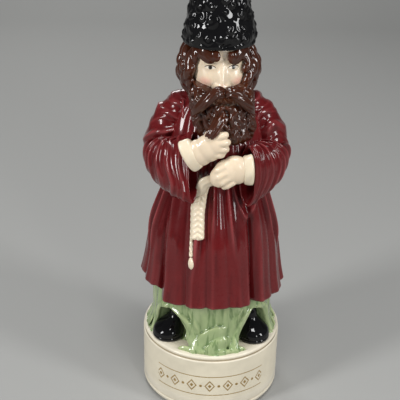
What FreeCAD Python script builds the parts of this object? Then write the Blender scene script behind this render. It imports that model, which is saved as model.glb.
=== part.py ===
import FreeCAD, Part
import math
import os
from types import SimpleNamespace
from FreeCAD import Vector
import Sketcher

# A glazed ceramic liquor decanter: a bearded man in a long belted coat and a tall fur hat, who
# stands in grass on a round drum. The hat lifts off, and its plug and cork close the neck.
# Millimetres. +Z is up, the figure faces -Y, and the origin is the middle of the drum's foot.
# Right and left are the figure's own, so right is at -X.

# ---------------------------------------------------------------- driving dimensions

SIZES = [
    # the drum that it stands on
    ("drum_radius", 46.0, "outside of the drum"),
    ("drum_height", 45.0, "table to the ledge that the grass and boots stand on"),
    ("drum_wall", 4.0, "thickness of the drum's side and ledge"),
    ("drum_floor", 6.0, "table to the inside floor"),
    ("foot_width", 5.0, "width of the ring that touches the table"),
    ("foot_inset", 2.0, "outside of the drum in to that ring"),
    ("foot_recess", 2.5, "height of the hollow under the floor"),
    ("foot_band", 5.5, "height of the lower turned line"),
    ("line_depth", 0.8, "depth of the two turned lines"),
    ("rim_inset", 2.6, "outside of the drum in to the upper turned line"),
    ("rim_drop", 0.8, "rounded rim below the ledge"),
    ("rim_round", 1.6, "rounding of the rim"),
    # the grass that rises under the coat
    ("grass_height", 34.0, "ledge to the lowest point of the hem"),
    ("grass_half_width", 39.4, "half of the grass, side to side"),
    ("grass_half_depth", 34.0, "half of the grass, front to back"),
    ("grass_foot_radius", 40.6, "grass where it spreads on the ledge"),
    ("grass_blades", 22, "number of blades round the mound"),
    ("grass_blade", 0.9, "how far a blade stands out"),
    ("grass_under_coat", 5.5, "grass above the lowest point of the hem, inside the coat"),
    ("leaf_width", 5.0, "width of a large leaf"),
    ("leaf_thickness", 3.0, "thickness of a large leaf"),
    ("leaf_stand", 0.6, "middle of a large leaf off the mound"),
    # the boots
    ("boot_length", 21.0, "heel to toe"),
    ("boot_width", 20.0, "across the sole"),
    ("boot_height", 23.0, "sole to the top of the ankle"),
    ("sole_height", 3.0, "thickness of the sole"),
    ("sole_lip", 0.8, "how far the sole stands out round the boot"),
    ("boot_reach", 28.0, "middle of a sole from the middle plane"),
    ("boot_forward", 19.5, "middle of a sole in front of the middle"),
    ("boot_turnout", 22.0, "degrees that the toes turn outwards"),
    ("niche_gap", 2.5, "room round a boot in the grass"),
    ("niche_reach", 7.0, "how far a niche opens in front of a boot"),
    # the coat below the belt
    ("skirt_height", 81.0, "lowest point of the hem to the waist"),
    ("hem_half_width", 45.0, "half of the hem, side to side"),
    ("hem_half_depth", 42.0, "half of the hem, front to back"),
    ("waist_half_width", 29.5, "half of the waist, side to side"),
    ("waist_half_depth", 27.0, "half of the waist, front to back"),
    ("pleat_depth", 1.7, "how far a pleat stands out at the hem"),
    ("hem_rise", 4.5, "how far the hem lifts between its low points"),
    ("hem_arch", 14.0, "radius of the arches along the hem"),
    # the coat above the belt
    ("torso_height", 49.0, "waist to the top of the shoulders"),
    ("chest_half_width", 29.0, "half of the chest, side to side"),
    ("chest_half_depth", 27.0, "half of the chest, front to back"),
    ("chest_forward", 3.0, "middle of the chest in front of the middle"),
    ("shoulder_half_width", 26.0, "half of the body below the shoulders"),
    ("shoulder_half_depth", 20.0, "half of the body there, front to back"),
    ("collar_radius", 15.5, "body where the neck leaves it"),
    # the arms
    ("arm_root", 15.0, "root of an arm from the middle plane"),
    ("arm_root_back", 2.0, "root of an arm behind the middle"),
    ("elbow_forward", 4.0, "middle of an elbow in front of the middle"),
    ("arm_root_drop", 9.0, "root of an arm below the shoulders"),
    ("elbow_reach", 33.0, "middle of an elbow from the middle plane"),
    ("elbow_drop", 36.0, "middle of an elbow below the shoulders"),
    ("arm_radius", 12.0, "sleeve down to the elbow"),
    ("mouth_forward", 31.0, "open end of a sleeve in front of the middle"),
    ("right_mouth_reach", 17.0, "open end of the right sleeve from the middle plane"),
    ("left_mouth_reach", 20.0, "open end of the left sleeve from the middle plane"),
    ("right_mouth_drop", 39.0, "open end of the right sleeve below the shoulders"),
    ("left_mouth_drop", 43.0, "open end of the left sleeve below the shoulders"),
    ("mouth_half_height", 19.0, "half of the open end of a sleeve, up and down"),
    ("mouth_half_width", 7.5, "half of the open end of a sleeve, across"),
    ("wrinkle", 0.7, "how far the wrinkles of a sleeve stand out"),
    # the hands
    ("wrist_forward", 5.0, "wrist in front of the open end of its sleeve"),
    ("right_wrist_in", 3.5, "right wrist from its sleeve towards the middle plane"),
    ("right_wrist_rise", 4.0, "right wrist above the middle of its sleeve's end"),
    ("left_wrist_in", 2.0, "left wrist from its sleeve towards the middle plane"),
    ("left_wrist_rise", 5.0, "left wrist above the middle of its sleeve's end"),
    ("cuff_half_height", 11.0, "half of a shirt cuff, its long way"),
    ("cuff_half_width", 6.8, "half of a shirt cuff, its short way"),
    ("cuff_length", 6.0, "how far a shirt cuff shows"),
    ("palm_half_height", 9.0, "half of the hand, across the fingers"),
    ("palm_half_width", 6.0, "half of the hand, palm to back"),
    ("palm_length", 15.0, "wrist to knuckles"),
    ("finger_length", 8.0, "knuckle to fingertip"),
    ("finger_radius", 2.6, "a finger"),
    # the sash
    ("sash_height", 7.0, "height of the sash round the waist"),
    ("sash_thickness", 2.0, "how far the sash stands off the coat"),
    ("sash_side", 11.5, "where the ends hang, from the middle plane"),
    ("sash_end_thickness", 2.6, "how far the hanging ends stand off the coat"),
    ("long_end_length", 58.0, "how far the end with the knot hangs"),
    ("long_end_width", 5.0, "width of the end with the knot"),
    ("short_end_length", 35.0, "how far the plaited end hangs"),
    ("short_end_width", 8.5, "width of the plaited end"),
    ("sash_end_lap", 1.0, "how far one end lies over the other"),
    # the head
    ("head_height", 31.0, "shoulders to the ledge that the hat sits on"),
    ("face_half_width", 17.3, "half of the face"),
    ("face_half_depth", 19.0, "half of the head, front to back"),
    ("nose_reach", 4.0, "tip of the nose in front of the face"),
    ("hair_half_width", 24.0, "half of the hair, side to side"),
    ("hair_half_depth", 22.0, "half of the hair, front to back"),
    ("hair_lock", 0.9, "how far the locks stand out"),
    ("hair_gap", 0.3, "hair below the hat's brim"),
    ("hair_back", 1.5, "middle of the hair behind the middle"),
    ("hair_drop", 6.0, "end of the hair below the shoulders"),
    ("hair_tuck", 3.0, "where the hair has its full width, above the shoulders"),
    ("hairline", 0.8, "hair over each side of the face"),
    ("parting", 1.0, "middle of the parting, to the figure's left"),
    ("fringe_lock", 2.0, "middle of an outer lock of the fringe from the hairline"),
    ("fringe_drop", 6.0, "fringe below the hat's brim"),
    ("beard_half_width", 20.0, "half of the beard"),
    ("beard_shift", 2.0, "middle of the beard towards the figure's left"),
    ("beard_front", 35.5, "front of the beard from the middle"),
    ("beard_drop", 23.0, "end of the beard below the shoulders"),
    ("beard_top", 8.0, "root of the beard above the shoulders"),
    ("moustache_span", 18.0, "middle of the lip to a tip"),
    ("moustache_radius", 4.2, "moustache at its thickest"),
    # the neck and its stopper
    ("vessel_wall", 3.8, "least wall of the coat"),
    ("foot_space_radius", 19.5, "hollow between the boots"),
    ("foot_space_drop", 9.0, "where that hollow starts to widen, below the hem"),
    ("neck_bore", 8.6, "inside radius of the neck"),
    ("neck_outer", 12.0, "outside radius of the neck"),
    ("neck_length", 24.0, "neck from its lower end to its lip"),
    ("neck_rise", 3.5, "lip above the ledge that the hat sits on"),
    ("cork_length", 14.0, "cork sleeve, end to end"),
    ("cork_clearance", 0.05, "running gap between the cork and the neck"),
    ("plug_radius", 5.5, "hat's plug, inside the cork"),
    ("plug_tail", 1.5, "plug below the cork"),
    ("vent_radius", 1.4, "hole up through the plug"),
    # the hat
    ("hat_radius", 22.4, "hat just above its brim"),
    ("hat_seat_width", 6.5, "width of the ring that it sits on"),
    ("hat_low_radius", 21.3, "hat a quarter of the way up"),
    ("hat_mid_radius", 18.6, "hat halfway up"),
    ("hat_top_radius", 15.8, "hat at its top edge"),
    ("hat_height", 46.0, "brim to top"),
    ("hat_wall", 3.2, "thickness of the hat"),
    ("crown_rise", 3.0, "how far the top is domed"),
    ("crown_round", 4.5, "rounding of the top edge"),
    ("brim_lift", 2.2, "height of the rounded brim"),
    ("lip_clearance", 1.0, "gap round the neck's lip inside the hat"),
]

doc = FreeCAD.newDocument("figural_decanter")
sheet = doc.addObject("Spreadsheet::Sheet", "Sizes")
for row, (alias, value, note) in enumerate(SIZES, start=1):
    sheet.set(f"A{row}", alias)
    sheet.set(f"B{row}", str(value))
    sheet.set(f"C{row}", note)
    sheet.setAlias(f"B{row}", alias)
doc.recompute()


class Size(float):
    """A length that remembers the formula over the sheet's cells that it came from."""

    def __new__(cls, value, formula=None):
        made = super().__new__(cls, value)
        made.formula = formula or repr(float(value))
        return made

    def joined(self, sign, other, result):
        other = other if isinstance(other, Size) else Size(other)
        return Size(result, f"({self.formula} {sign} {other.formula})")

    def __add__(self, other):
        return self.joined("+", other, float(self) + float(other))

    def __sub__(self, other):
        return self.joined("-", other, float(self) - float(other))

    def __mul__(self, other):
        return self.joined("*", other, float(self) * float(other))

    def __truediv__(self, other):
        return self.joined("/", other, float(self) / float(other))

    def __neg__(self):
        return Size(-1.0) * self


size = SimpleNamespace(
    **{alias: Size(float(sheet.get(alias)), f"Sizes.{alias}") for alias, value, note in SIZES}
)

# ---------------------------------------------------------------- levels and depths between pieces

LEDGE_Z = size.drum_height
HEM_Z = LEDGE_Z + size.grass_height
WAIST_Z = HEM_Z + size.skirt_height
SHOULDER_Z = WAIST_Z + size.torso_height
CROWN_Z = SHOULDER_Z + size.head_height
LIP_Z = CROWN_Z + size.neck_rise
NECK_Z = LIP_Z - size.neck_length
HAT_INNER_Z = LIP_Z + size.lip_clearance
CORK_Z = HAT_INNER_Z - size.cork_length
PLUG_Z = CORK_Z - size.plug_tail
TOP_Z = CROWN_Z + size.hat_height
ZERO = Size(0.0)
RIGHT, LEFT = -1, 1

# The creases between the coat's pleats: degrees from the front towards the figure's left, at the
# hem and at the waist.
CREASES = [
    (-171, -172), (-147, -148), (-121, -124), (-97, -102), (-74, -83), (-51, -64), (-23, -34),
    (-5, -9), (14, 7), (36, 40), (58, 66), (80, 86), (103, 106), (127, 129), (150, 151),
]

# The large leaves: points of (degrees from the front, share of the mound's height), from the root.
# The first two stand beside a boot, and each of them has a mirrored one on the other side.
NICHE_LEAVES = [
    [(20, 0.0), (23, 0.38), (31, 0.66), (42, 0.84)],
    [(68, 0.0), (65, 0.35), (57, 0.62), (47, 0.84)],
]
FRONT_LEAVES = [
    [(-15, 0.0), (-9, 0.26), (2, 0.38), (13, 0.2)],
    [(-4, 0.3), (-6, 0.55), (-9, 0.8), (-12, 1.0)],
    [(18, 0.34), (15, 0.55), (14, 0.78), (17, 1.0)],
]

nodes = {}


# ---------------------------------------------------------------- ways of making things

def blend(low, high, share):
    """A value between low and high, at share 0 to 1."""
    return low + (high - low) * share


def keep(label, feature):
    """Names a finished sub-part, which becomes a file."""
    feature.Label = label
    nodes[label] = feature
    return feature


def pin_corner(sketch, geometry, corner):
    """Ties the start of a line to its place, with both distances bound to the sheet."""
    r, z = corner
    if r == 0:
        sketch.addConstraint(Sketcher.Constraint("PointOnObject", geometry, 1, -2))
    else:
        index = sketch.addConstraint(Sketcher.Constraint("DistanceX", -1, 1, geometry, 1, float(r)))
        sketch.setExpression(f"Constraints[{index}]", r.formula)
    if z == 0:
        sketch.addConstraint(Sketcher.Constraint("PointOnObject", geometry, 1, -1))
    else:
        index = sketch.addConstraint(Sketcher.Constraint("DistanceY", -1, 1, geometry, 1, float(z)))
        sketch.setExpression(f"Constraints[{index}]", z.formula)


def turned(name, corners):
    """A body turned about Z, from the (radius, height) corners of its half section."""
    body = doc.addObject("PartDesign::Body", name)
    sketch = body.newObject("Sketcher::SketchObject", f"{name}_section")
    plane = next(item for item in body.Origin.OriginFeatures if item.Role == "XZ_Plane")
    sketch.AttachmentSupport = [(plane, "")]
    sketch.MapMode = "FlatFace"
    points = [Vector(float(r), float(z), 0) for r, z in corners]
    for start, end in zip(points, points[1:] + points[:1]):
        sketch.addGeometry(Part.LineSegment(start, end), False)
    for i, corner in enumerate(corners):
        sketch.addConstraint(Sketcher.Constraint("Coincident", i, 2, (i + 1) % len(corners), 1))
        pin_corner(sketch, i, corner)
    turn = body.newObject("PartDesign::Revolution", f"{name}_turn")
    turn.Profile = sketch
    turn.ReferenceAxis = (sketch, ["V_Axis"])
    turn.Angle = 360
    body.Tip = turn
    doc.recompute()
    return body


def round_edges(body, name, corners, radius):
    """Rounds the circular edges of a turned body that pass through the (radius, height) corners."""
    edges = []
    for i, edge in enumerate(body.Shape.Edges, start=1):
        for r, z in corners:
            box = edge.BoundBox
            level = abs(box.ZMin - z) < 1e-4 and abs(box.ZMax - z) < 1e-4
            if level and abs(box.XMax - r) < 1e-4:
                edges.append(f"Edge{i}")
    base = body.Tip
    fillet = body.newObject("PartDesign::Fillet", name)
    fillet.Base = (base, edges)
    fillet.setExpression("Radius", radius.formula)
    body.Tip = fillet
    doc.recompute()


def cylinder(name, radius, height, low):
    """An upright round bar on the Z axis."""
    bar = doc.addObject("Part::Cylinder", name)
    bar.setExpression("Radius", radius.formula)
    bar.setExpression("Height", height.formula)
    bar.setExpression("Placement.Base.z", low.formula)
    return bar


def form(name, shape):
    """An object of the document for a shape made with Part's own functions."""
    feature = doc.addObject("Part::Feature", name)
    feature.Shape = shape
    feature.Placement = FreeCAD.Placement()
    return feature


def cut(name, base, tools):
    """The base less everything that the tools fill."""
    for i, tool in enumerate(tools, start=1):
        step = doc.addObject("Part::Cut", f"{name}_cut{i}")
        step.Base = base
        step.Tool = tool
        base = step
    return base


def ring(centre, side, up, corners, ridge=0.0):
    """A closed outline with half axes side and up. Every second corner stands out by the ridge."""
    points = []
    for i in range(corners):
        angle = 2 * math.pi * i / corners
        arm = side * math.cos(angle) + up * math.sin(angle)
        out = ridge if i % 2 == 0 else -ridge
        points.append(centre + arm * (1 + out / arm.Length))
    return Part.makePolygon(points + points[:1])


def level_ring(x, y, z, half_width, half_depth, corners, ridge=0.0):
    """A level outline with its middle at x, y, z."""
    side, back = Vector(half_width, 0, 0), Vector(0, half_depth, 0)
    return ring(Vector(x, y, z), side, back, corners, ridge)


def limb_ring(centre, heading, outward, thick, tall, corners, ridge=0.0):
    """An outline square to a limb's heading, thick towards the outward side and tall across it."""
    ahead = Vector(heading).normalize()
    side = (outward - ahead * outward.dot(ahead)).normalize()
    return ring(centre, side * thick, ahead.cross(side) * tall, corners, ridge)


def loft(outlines):
    """A solid through the outlines, smooth along its length, with a crease at every corner."""
    return Part.makeLoft(outlines, True, False, False)


# ---------------------------------------------------------------- the space for the liquor

def make_drum_space():
    """The hollow of the drum."""
    low, high = size.drum_floor, LEDGE_Z - size.drum_wall
    return cylinder("drum_space", size.drum_radius - size.drum_wall, high - low, low)


def make_foot_space():
    """The round hollow up through the ledge and between the boots."""
    low, high = LEDGE_Z - 2 * size.drum_wall, HEM_Z - size.foot_space_drop / 2
    return cylinder("foot_space", size.foot_space_radius, high - low, low)


def make_body_space():
    """The hollow from above the boots up through the coat, to the shoulders."""
    coat_in = size.pleat_depth + size.vessel_wall
    narrow = size.foot_space_radius
    top = size.neck_outer - size.lip_clearance
    rows = [
        (HEM_Z - size.foot_space_drop, narrow, narrow, 0.0),
        (blend(HEM_Z, WAIST_Z, 0.15), *coat_half_axes(0.15), 2 * coat_in),
        (blend(HEM_Z, WAIST_Z, 0.55), *coat_half_axes(0.55), coat_in),
        (WAIST_Z, size.waist_half_width, size.waist_half_depth, coat_in),
        (SHOULDER_Z, top, top, 0.0),
    ]
    outlines = [level_ring(0, 0, z, wide - less, deep - less, 16) for z, wide, deep, less in rows]
    return form("body_space", loft(outlines))


def make_throat_space():
    """The hollow from the chest up to the foot of the neck."""
    low = (WAIST_Z + SHOULDER_Z) / 2
    return cylinder("throat_space", size.neck_outer, NECK_Z - low, low)


# ---------------------------------------------------------------- the drum, the grass and the boots

def make_drum():
    """A flat-bottomed drum on a foot ring, with a turned line near its foot and one at its rim."""
    r = size.drum_radius
    line = size.line_depth
    foot_out = r - size.foot_inset
    foot_in = foot_out - size.foot_width
    rim_top = LEDGE_Z - size.rim_drop
    groove = r - size.rim_inset
    corners = [
        (ZERO, size.foot_recess),
        (foot_in - size.foot_recess, size.foot_recess),
        (foot_in, ZERO),
        (foot_out, ZERO),
        (r, size.foot_inset),
        (r, size.foot_band - line),
        (r - line, size.foot_band),
        (r, size.foot_band + line),
        (r, rim_top),
        (groove + line, rim_top),
        (groove, rim_top - line),
        (groove - line, LEDGE_Z),
        (ZERO, LEDGE_Z),
    ]
    body = turned("drum_turned", corners)
    round_edges(body, "rim_rounding", [(r, rim_top)], size.rim_round)
    return body


def mound_half_axes(share):
    """Half width and half depth of the mound, at share 0 on the ledge to 1 inside the coat."""
    spread = max(0.0, 1 - 2.4 * share) ** 1.5
    wide = blend(size.grass_half_width, size.grass_foot_radius, spread)
    deep = blend(size.grass_half_depth, size.grass_foot_radius, spread)
    return wide, deep


def make_leaf(points):
    """A large leaf that lies on the mound and narrows to its tip."""
    centres = []
    for degrees, share in points:
        wide, deep = mound_half_axes(share)
        turn, off = math.radians(degrees), size.leaf_stand
        z = blend(LEDGE_Z, HEM_Z + size.grass_under_coat, share) + size.leaf_thickness / 2
        centres.append(
            Vector((wide + off) * math.sin(turn), -(deep + off) * math.cos(turn), float(z))
        )
    outlines = []
    for i, (centre, fullness) in enumerate(zip(centres, (0.9, 1.0, 0.8, 0.3))):
        heading = centres[min(i + 1, len(centres) - 1)] - centres[max(i - 1, 0)]
        thick = size.leaf_thickness / 2 * fullness
        outward = Vector(centre.x, centre.y, 0)
        outlines.append(
            limb_ring(centre, heading, outward, thick, size.leaf_width / 2 * fullness, 6)
        )
    return loft(outlines)


def make_grass():
    """A mound with a blade at every ridge, wider where it spreads on the ledge, and its leaves."""
    corners = 2 * round(size.grass_blades)
    outlines = []
    for share in (0.0, 0.33, 0.66, 1.0):
        wide, deep = mound_half_axes(share)
        z = blend(LEDGE_Z, HEM_Z + size.grass_under_coat, share)
        outlines.append(level_ring(0, 0, z, wide, deep, corners, size.grass_blade))
    mirrored = [[(-degrees, share) for degrees, share in leaf] for leaf in NICHE_LEAVES]
    leaves = [make_leaf(points) for points in NICHE_LEAVES + mirrored + FRONT_LEAVES]
    return form("grass_outside", loft(outlines).multiFuse(leaves))


def boot_place(side):
    """The middle of a boot's sole, and the ways to its toe and across it."""
    turn = math.radians(90 - size.boot_turnout)
    toe = Vector(side * math.cos(turn), -math.sin(turn), 0)
    middle = Vector(side * size.boot_reach, -size.boot_forward, LEDGE_Z)
    return middle, toe, Vector(-toe.y, toe.x, 0)


def make_boot(side):
    """A boot on a flat sole with a lip, round at the toe, with an instep up to the ankle."""
    middle, toe, across = boot_place(side)
    half, wide, lip = size.boot_length / 2, size.boot_width / 2, size.sole_lip
    top_of_sole = middle + Vector(0, 0, size.sole_height)
    sole = loft([ring(place, toe * half, across * wide, 16) for place in (middle, top_of_sole)])
    outlines = []
    for share, back, fullness in ((0.0, 0.0, 1.0), (0.4, 1.5, 0.8), (1.0, 4.0, 0.3)):
        centre = middle - toe * back
        centre.z = LEDGE_Z + blend(size.sole_height, size.boot_height, share)
        length, width = (half - lip) * fullness, (wide - lip) * fullness
        outlines.append(ring(centre, toe * length, across * width, 16))
    return form("boot_right_form" if side == RIGHT else "boot_left_form", sole.fuse(loft(outlines)))


def make_niche(side):
    """The room for a boot in the grass: open in front, and it bites on the boot's heel."""
    middle, toe, across = boot_place(side)
    ahead = size.niche_reach
    half, wide = size.boot_length / 2 + ahead, size.boot_width / 2 + size.niche_gap
    bite = size.niche_gap / 5
    outlines = []
    for share, fullness in ((0.0, 1.0), (0.55, 0.85), (1.1, 0.3)):
        centre = middle + toe * (ahead + bite)
        centre.z = LEDGE_Z + (size.boot_height + size.niche_gap) * share
        outlines.append(ring(centre, toe * half * fullness, across * wide * fullness, 16))
    return form("niche_right" if side == RIGHT else "niche_left", loft(outlines))


# ---------------------------------------------------------------- the coat

def coat_half_axes(share):
    """Half width and half depth of the skirt, at share 0 at the hem to 1 at the waist."""
    flare = 1.15 * share - 0.15 * math.sin(math.pi * share) ** 2 - 0.15 * share ** 2
    wide = blend(size.hem_half_width, size.waist_half_width, flare)
    deep = blend(size.hem_half_depth, size.waist_half_depth, flare)
    return wide, deep


def pleated_ring(share):
    """The skirt's outline at a share of its height: from a crease each pleat swells to its middle."""
    wide, deep = coat_half_axes(share)
    depth = blend(size.pleat_depth, size.pleat_depth / 2, share)
    z = blend(HEM_Z, WAIST_Z, share)
    lines = [blend(hem, waist, share) for hem, waist in CREASES]
    points = []
    for low, high in zip(lines, lines[1:] + [lines[0] + 360]):
        for along, swell in ((0.0, -1.0), (0.25, 0.45), (0.5, 1.0), (0.75, 0.45)):
            turn = math.radians(blend(low, high, along))
            out = depth * swell
            points.append(Vector((wide + out) * math.sin(turn), -(deep + out) * math.cos(turn), z))
    return Part.makePolygon(points + points[:1])


def make_skirt():
    """The pleated skirt of the coat, before its hem is shaped."""
    return form("skirt_outside", loft([pleated_ring(share) for share in (0.0, 0.3, 0.65, 1.0)]))


def make_hem_arches():
    """Round bars from the middle outwards, under every second crease, which lift the hem."""
    centre = Vector(0, 0, HEM_Z + size.hem_rise - size.hem_arch)
    reach = size.hem_half_width + 2 * size.pleat_depth
    bars = []
    for hem, waist in CREASES[1::2]:
        turn = math.radians(hem)
        out = Vector(math.sin(turn), -math.cos(turn), 0)
        bars.append(Part.makeCylinder(size.hem_arch, reach, centre, out))
    return form("hem_arches", bars[0].multiFuse(bars[1:]))


def make_bodice():
    """The body of the coat above the belt: out at the chest, in again to the collar."""
    torso = size.torso_height
    rows = [
        (0.0, 0.0, size.waist_half_width, size.waist_half_depth),
        (0.35, -size.chest_forward, size.chest_half_width, size.chest_half_depth),
        (0.78, 0.0, size.shoulder_half_width, size.shoulder_half_depth),
        (1.0, 0.0, size.collar_radius, size.collar_radius),
    ]
    outlines = []
    for share, forward, wide, deep in rows:
        outlines.append(level_ring(0, forward, WAIST_Z + torso * share, wide, deep, 24))
    return form("bodice_outside", loft(outlines))


def make_sleeve(side):
    """A wide sleeve from the shoulder round the elbow to its tall open end in front."""
    reach = size.right_mouth_reach if side == RIGHT else size.left_mouth_reach
    drop = size.right_mouth_drop if side == RIGHT else size.left_mouth_drop
    thick = size.arm_radius
    root_z, elbow_z = SHOULDER_Z - size.arm_root_drop, SHOULDER_Z - size.elbow_drop
    mouth_z = SHOULDER_Z - drop
    rows = [
        ((size.arm_root, size.arm_root_back, root_z), (0.8, 0, -0.6), 0.8 * thick, 0.85 * thick),
        (
            (blend(size.arm_root, size.elbow_reach, 0.68), 0, blend(root_z, elbow_z, 0.38)),
            (0.5, -0.1, -0.85),
            thick,
            thick,
        ),
        (
            (size.elbow_reach, -size.elbow_forward, elbow_z),
            (0.0, -0.6, -0.8),
            1.03 * thick,
            1.1 * thick,
        ),
        (
            (
                blend(size.elbow_reach, reach, 0.3),
                -size.mouth_forward / 2,
                blend(elbow_z, mouth_z, 0.6),
            ),
            (-0.45, -0.85, -0.1),
            0.92 * thick,
            1.25 * thick,
        ),
        (
            (reach, -size.mouth_forward, mouth_z),
            (-0.65, -0.75, 0.1),
            size.mouth_half_width,
            size.mouth_half_height,
        ),
    ]
    outward = Vector(side, 0, 0)
    outlines = []
    for (x, y, z), (a, b, c), wide, tall in rows:
        centre, heading = Vector(side * x, y, z), Vector(side * a, b, c)
        outlines.append(limb_ring(centre, heading, outward, wide, tall, 16, size.wrinkle))
    return form("sleeve_right_form" if side == RIGHT else "sleeve_left_form", loft(outlines))


# ---------------------------------------------------------------- the hands and cuffs

def wrist(side):
    """Where a hand starts, and which way it points."""
    y = -size.mouth_forward - size.wrist_forward
    if side == RIGHT:
        x = -size.right_mouth_reach + size.right_wrist_in
        z = SHOULDER_Z - size.right_mouth_drop + size.right_wrist_rise
        return Vector(x, y, z), Vector(0.64, -0.04, 0.77)
    x = size.left_mouth_reach - size.left_wrist_in
    z = SHOULDER_Z - size.left_mouth_drop + size.left_wrist_rise
    return Vector(x, y, z), Vector(-0.98, -0.02, -0.2)


def make_cuff(side):
    """A shirt cuff: a short oval band round the wrist, fuller in its middle."""
    middle, heading = wrist(side)
    length, tall, thick = size.cuff_length, size.cuff_half_height, size.cuff_half_width
    front = Vector(0, -1, 0)
    outlines = []
    for along, share in ((-0.5, 0.93), (0.0, 1.0), (0.5, 0.93)):
        centre = middle + heading * (length * along)
        outlines.append(limb_ring(centre, heading, front, thick * share, tall * share, 16))
    return form("cuff_right_form" if side == RIGHT else "cuff_left_form", loft(outlines))


def make_hand(side):
    """A hand with four fingers held together, side by side across the palm."""
    middle, heading = wrist(side)
    front = Vector(0, -1, 0)
    tall, thick, length = size.palm_half_height, size.palm_half_width, size.palm_length
    outlines = []
    for along, share in ((0.0, 0.85), (0.35, 1.0), (0.75, 0.96), (1.08, 0.6)):
        centre = middle + heading * (length * along)
        outlines.append(limb_ring(centre, heading, front, thick * share, tall * share, 14))
    hand = loft(outlines)
    across = Vector(heading).cross(front).normalize()
    pitch = (2 * tall - 2 * size.finger_radius) / 3
    for i in range(4):
        knuckle = middle + heading * (length * 0.8) + across * (pitch * (i - 1.5))
        reach = size.finger_length * (1 - 0.12 * abs(i - 1.2))
        finger = []
        for along, share in ((0.0, 1.0), (0.6, 1.0), (1.0, 0.55)):
            centre = knuckle + heading * (reach * along + length * 0.2 * along)
            r = size.finger_radius * share
            finger.append(limb_ring(centre, heading, front, r, r, 8))
        hand = hand.fuse(loft(finger))
    return form("hand_right_form" if side == RIGHT else "hand_left_form", hand)


# ---------------------------------------------------------------- the sash

def make_sash():
    """The sash round the waist, a soft band that stands off the coat."""
    wide, deep = size.waist_half_width, size.waist_half_depth
    outlines = []
    for share, bulge in ((0.0, 0.55), (0.5, 1.0), (1.0, 0.55)):
        off = size.sash_thickness * bulge
        outlines.append(
            level_ring(0, 0, WAIST_Z + size.sash_height * share, wide + off, deep + off, 20)
        )
    return form("sash_form", loft(outlines))


def coat_front(x, z):
    """How far the coat's front stands forward at x and z, below the waist."""
    share = (WAIST_Z - z) / size.skirt_height
    wide, deep = coat_half_axes(1 - min(max(share, 0.0), 1.0))
    return -deep * math.sqrt(1 - (x / wide) ** 2)


def make_sash_end(name, side_x, width, length, fullness):
    """An end of the sash down the coat's front, with how full it is at even steps downwards."""
    outlines = []
    for step, full in enumerate(fullness):
        z = WAIST_Z + size.sash_height / 2 - length * step / (len(fullness) - 1)
        thick = size.sash_end_thickness * (0.6 + 0.4 * full)
        outlines.append(level_ring(side_x, coat_front(side_x, z), z, width / 2 * full, thick, 12))
    return form(name, loft(outlines))


# ---------------------------------------------------------------- the head

def make_head():
    """The head: an egg with a plain nose, flat on top where the hat sits."""
    wide, deep, tall = size.face_half_width, size.face_half_depth, size.head_height
    rows = [
        (-0.12, 0.72, 0.70),
        (0.12, 0.86, 0.86),
        (0.42, 1.0, 1.0),
        (0.72, 1.02, 0.98),
        (1.0, 0.99, 0.92),
    ]
    outlines = []
    for share, wide_share, deep_share in rows:
        z = SHOULDER_Z + tall * share
        outlines.append(level_ring(0, 0, z, wide * wide_share, deep * deep_share, 24))
    nose = []
    for share, half, out in ((0.66, 1.2, 0.3), (0.48, 2.0, 0.85), (0.36, 2.8, 1.0), (0.3, 1.6, 0.5)):
        z = SHOULDER_Z + tall * share
        nose.append(level_ring(0, -deep, z, half, size.nose_reach * out, 10))
    return form("head_form", loft(outlines).fuse(loft(nose)))


def make_hair():
    """Thick hair round the head, in locks, from the collar to just under the hat."""
    wide, deep = size.hair_half_width, size.hair_half_depth
    top = CROWN_Z - size.hair_gap
    rows = [
        (SHOULDER_Z - size.hair_drop, 0.72, 0.78),
        (SHOULDER_Z + size.hair_tuck, 0.92, 0.96),
        (blend(SHOULDER_Z, CROWN_Z, 0.5), 1.0, 1.0),
        (blend(SHOULDER_Z, CROWN_Z, 0.85), 0.93, 0.96),
        (top, 0.83, 0.88),
    ]
    outlines = []
    for z, wide_share, deep_share in rows:
        outlines.append(
            level_ring(
                0, size.hair_back, z, wide * wide_share, deep * deep_share, 32, size.hair_lock
            )
        )
    return form("hair_form", loft(outlines))


def make_face_window():
    """The opening in the hair for the face, with a parting between two locks of the fringe."""
    half = size.face_half_width - size.hairline
    top = CROWN_Z - size.fringe_drop
    reach = 2 * size.hair_half_depth
    start = -reach - size.face_half_depth / 4
    window = Part.makeBox(2 * half, reach, top - WAIST_Z, Vector(-half, start, WAIST_Z))
    lock = half - size.fringe_lock
    for x, r in ((size.parting, 0.24 * half), (-lock, 0.3 * half), (lock, 0.3 * half)):
        notch = Part.makeCylinder(r, reach, Vector(x, start, top), Vector(0, 1, 0))
        window = window.fuse(notch)
    return form("face_window", window)


def make_beard():
    """The beard: full at the cheeks, furthest forward low down, and round at its end."""
    front = size.beard_front
    wide = size.beard_half_width
    top, end = SHOULDER_Z + size.beard_top, SHOULDER_Z - size.beard_drop
    rows = [
        (0.0, 0.78, 0.78, 0.2),
        (0.22, 0.98, 0.92, 0.31),
        (0.52, 1.0, 1.0, 0.34),
        (0.84, 0.82, 0.99, 0.24),
        (1.0, 0.5, 0.92, 0.14),
    ]
    outlines = []
    for share, wide_share, front_share, deep_share in rows:
        deep = front * deep_share
        y = -front * front_share + deep
        z = blend(top, end, share)
        outlines.append(
            level_ring(size.beard_shift, y, z, wide * wide_share, deep, 24, size.hair_lock)
        )
    return form("beard_form", loft(outlines))


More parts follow.
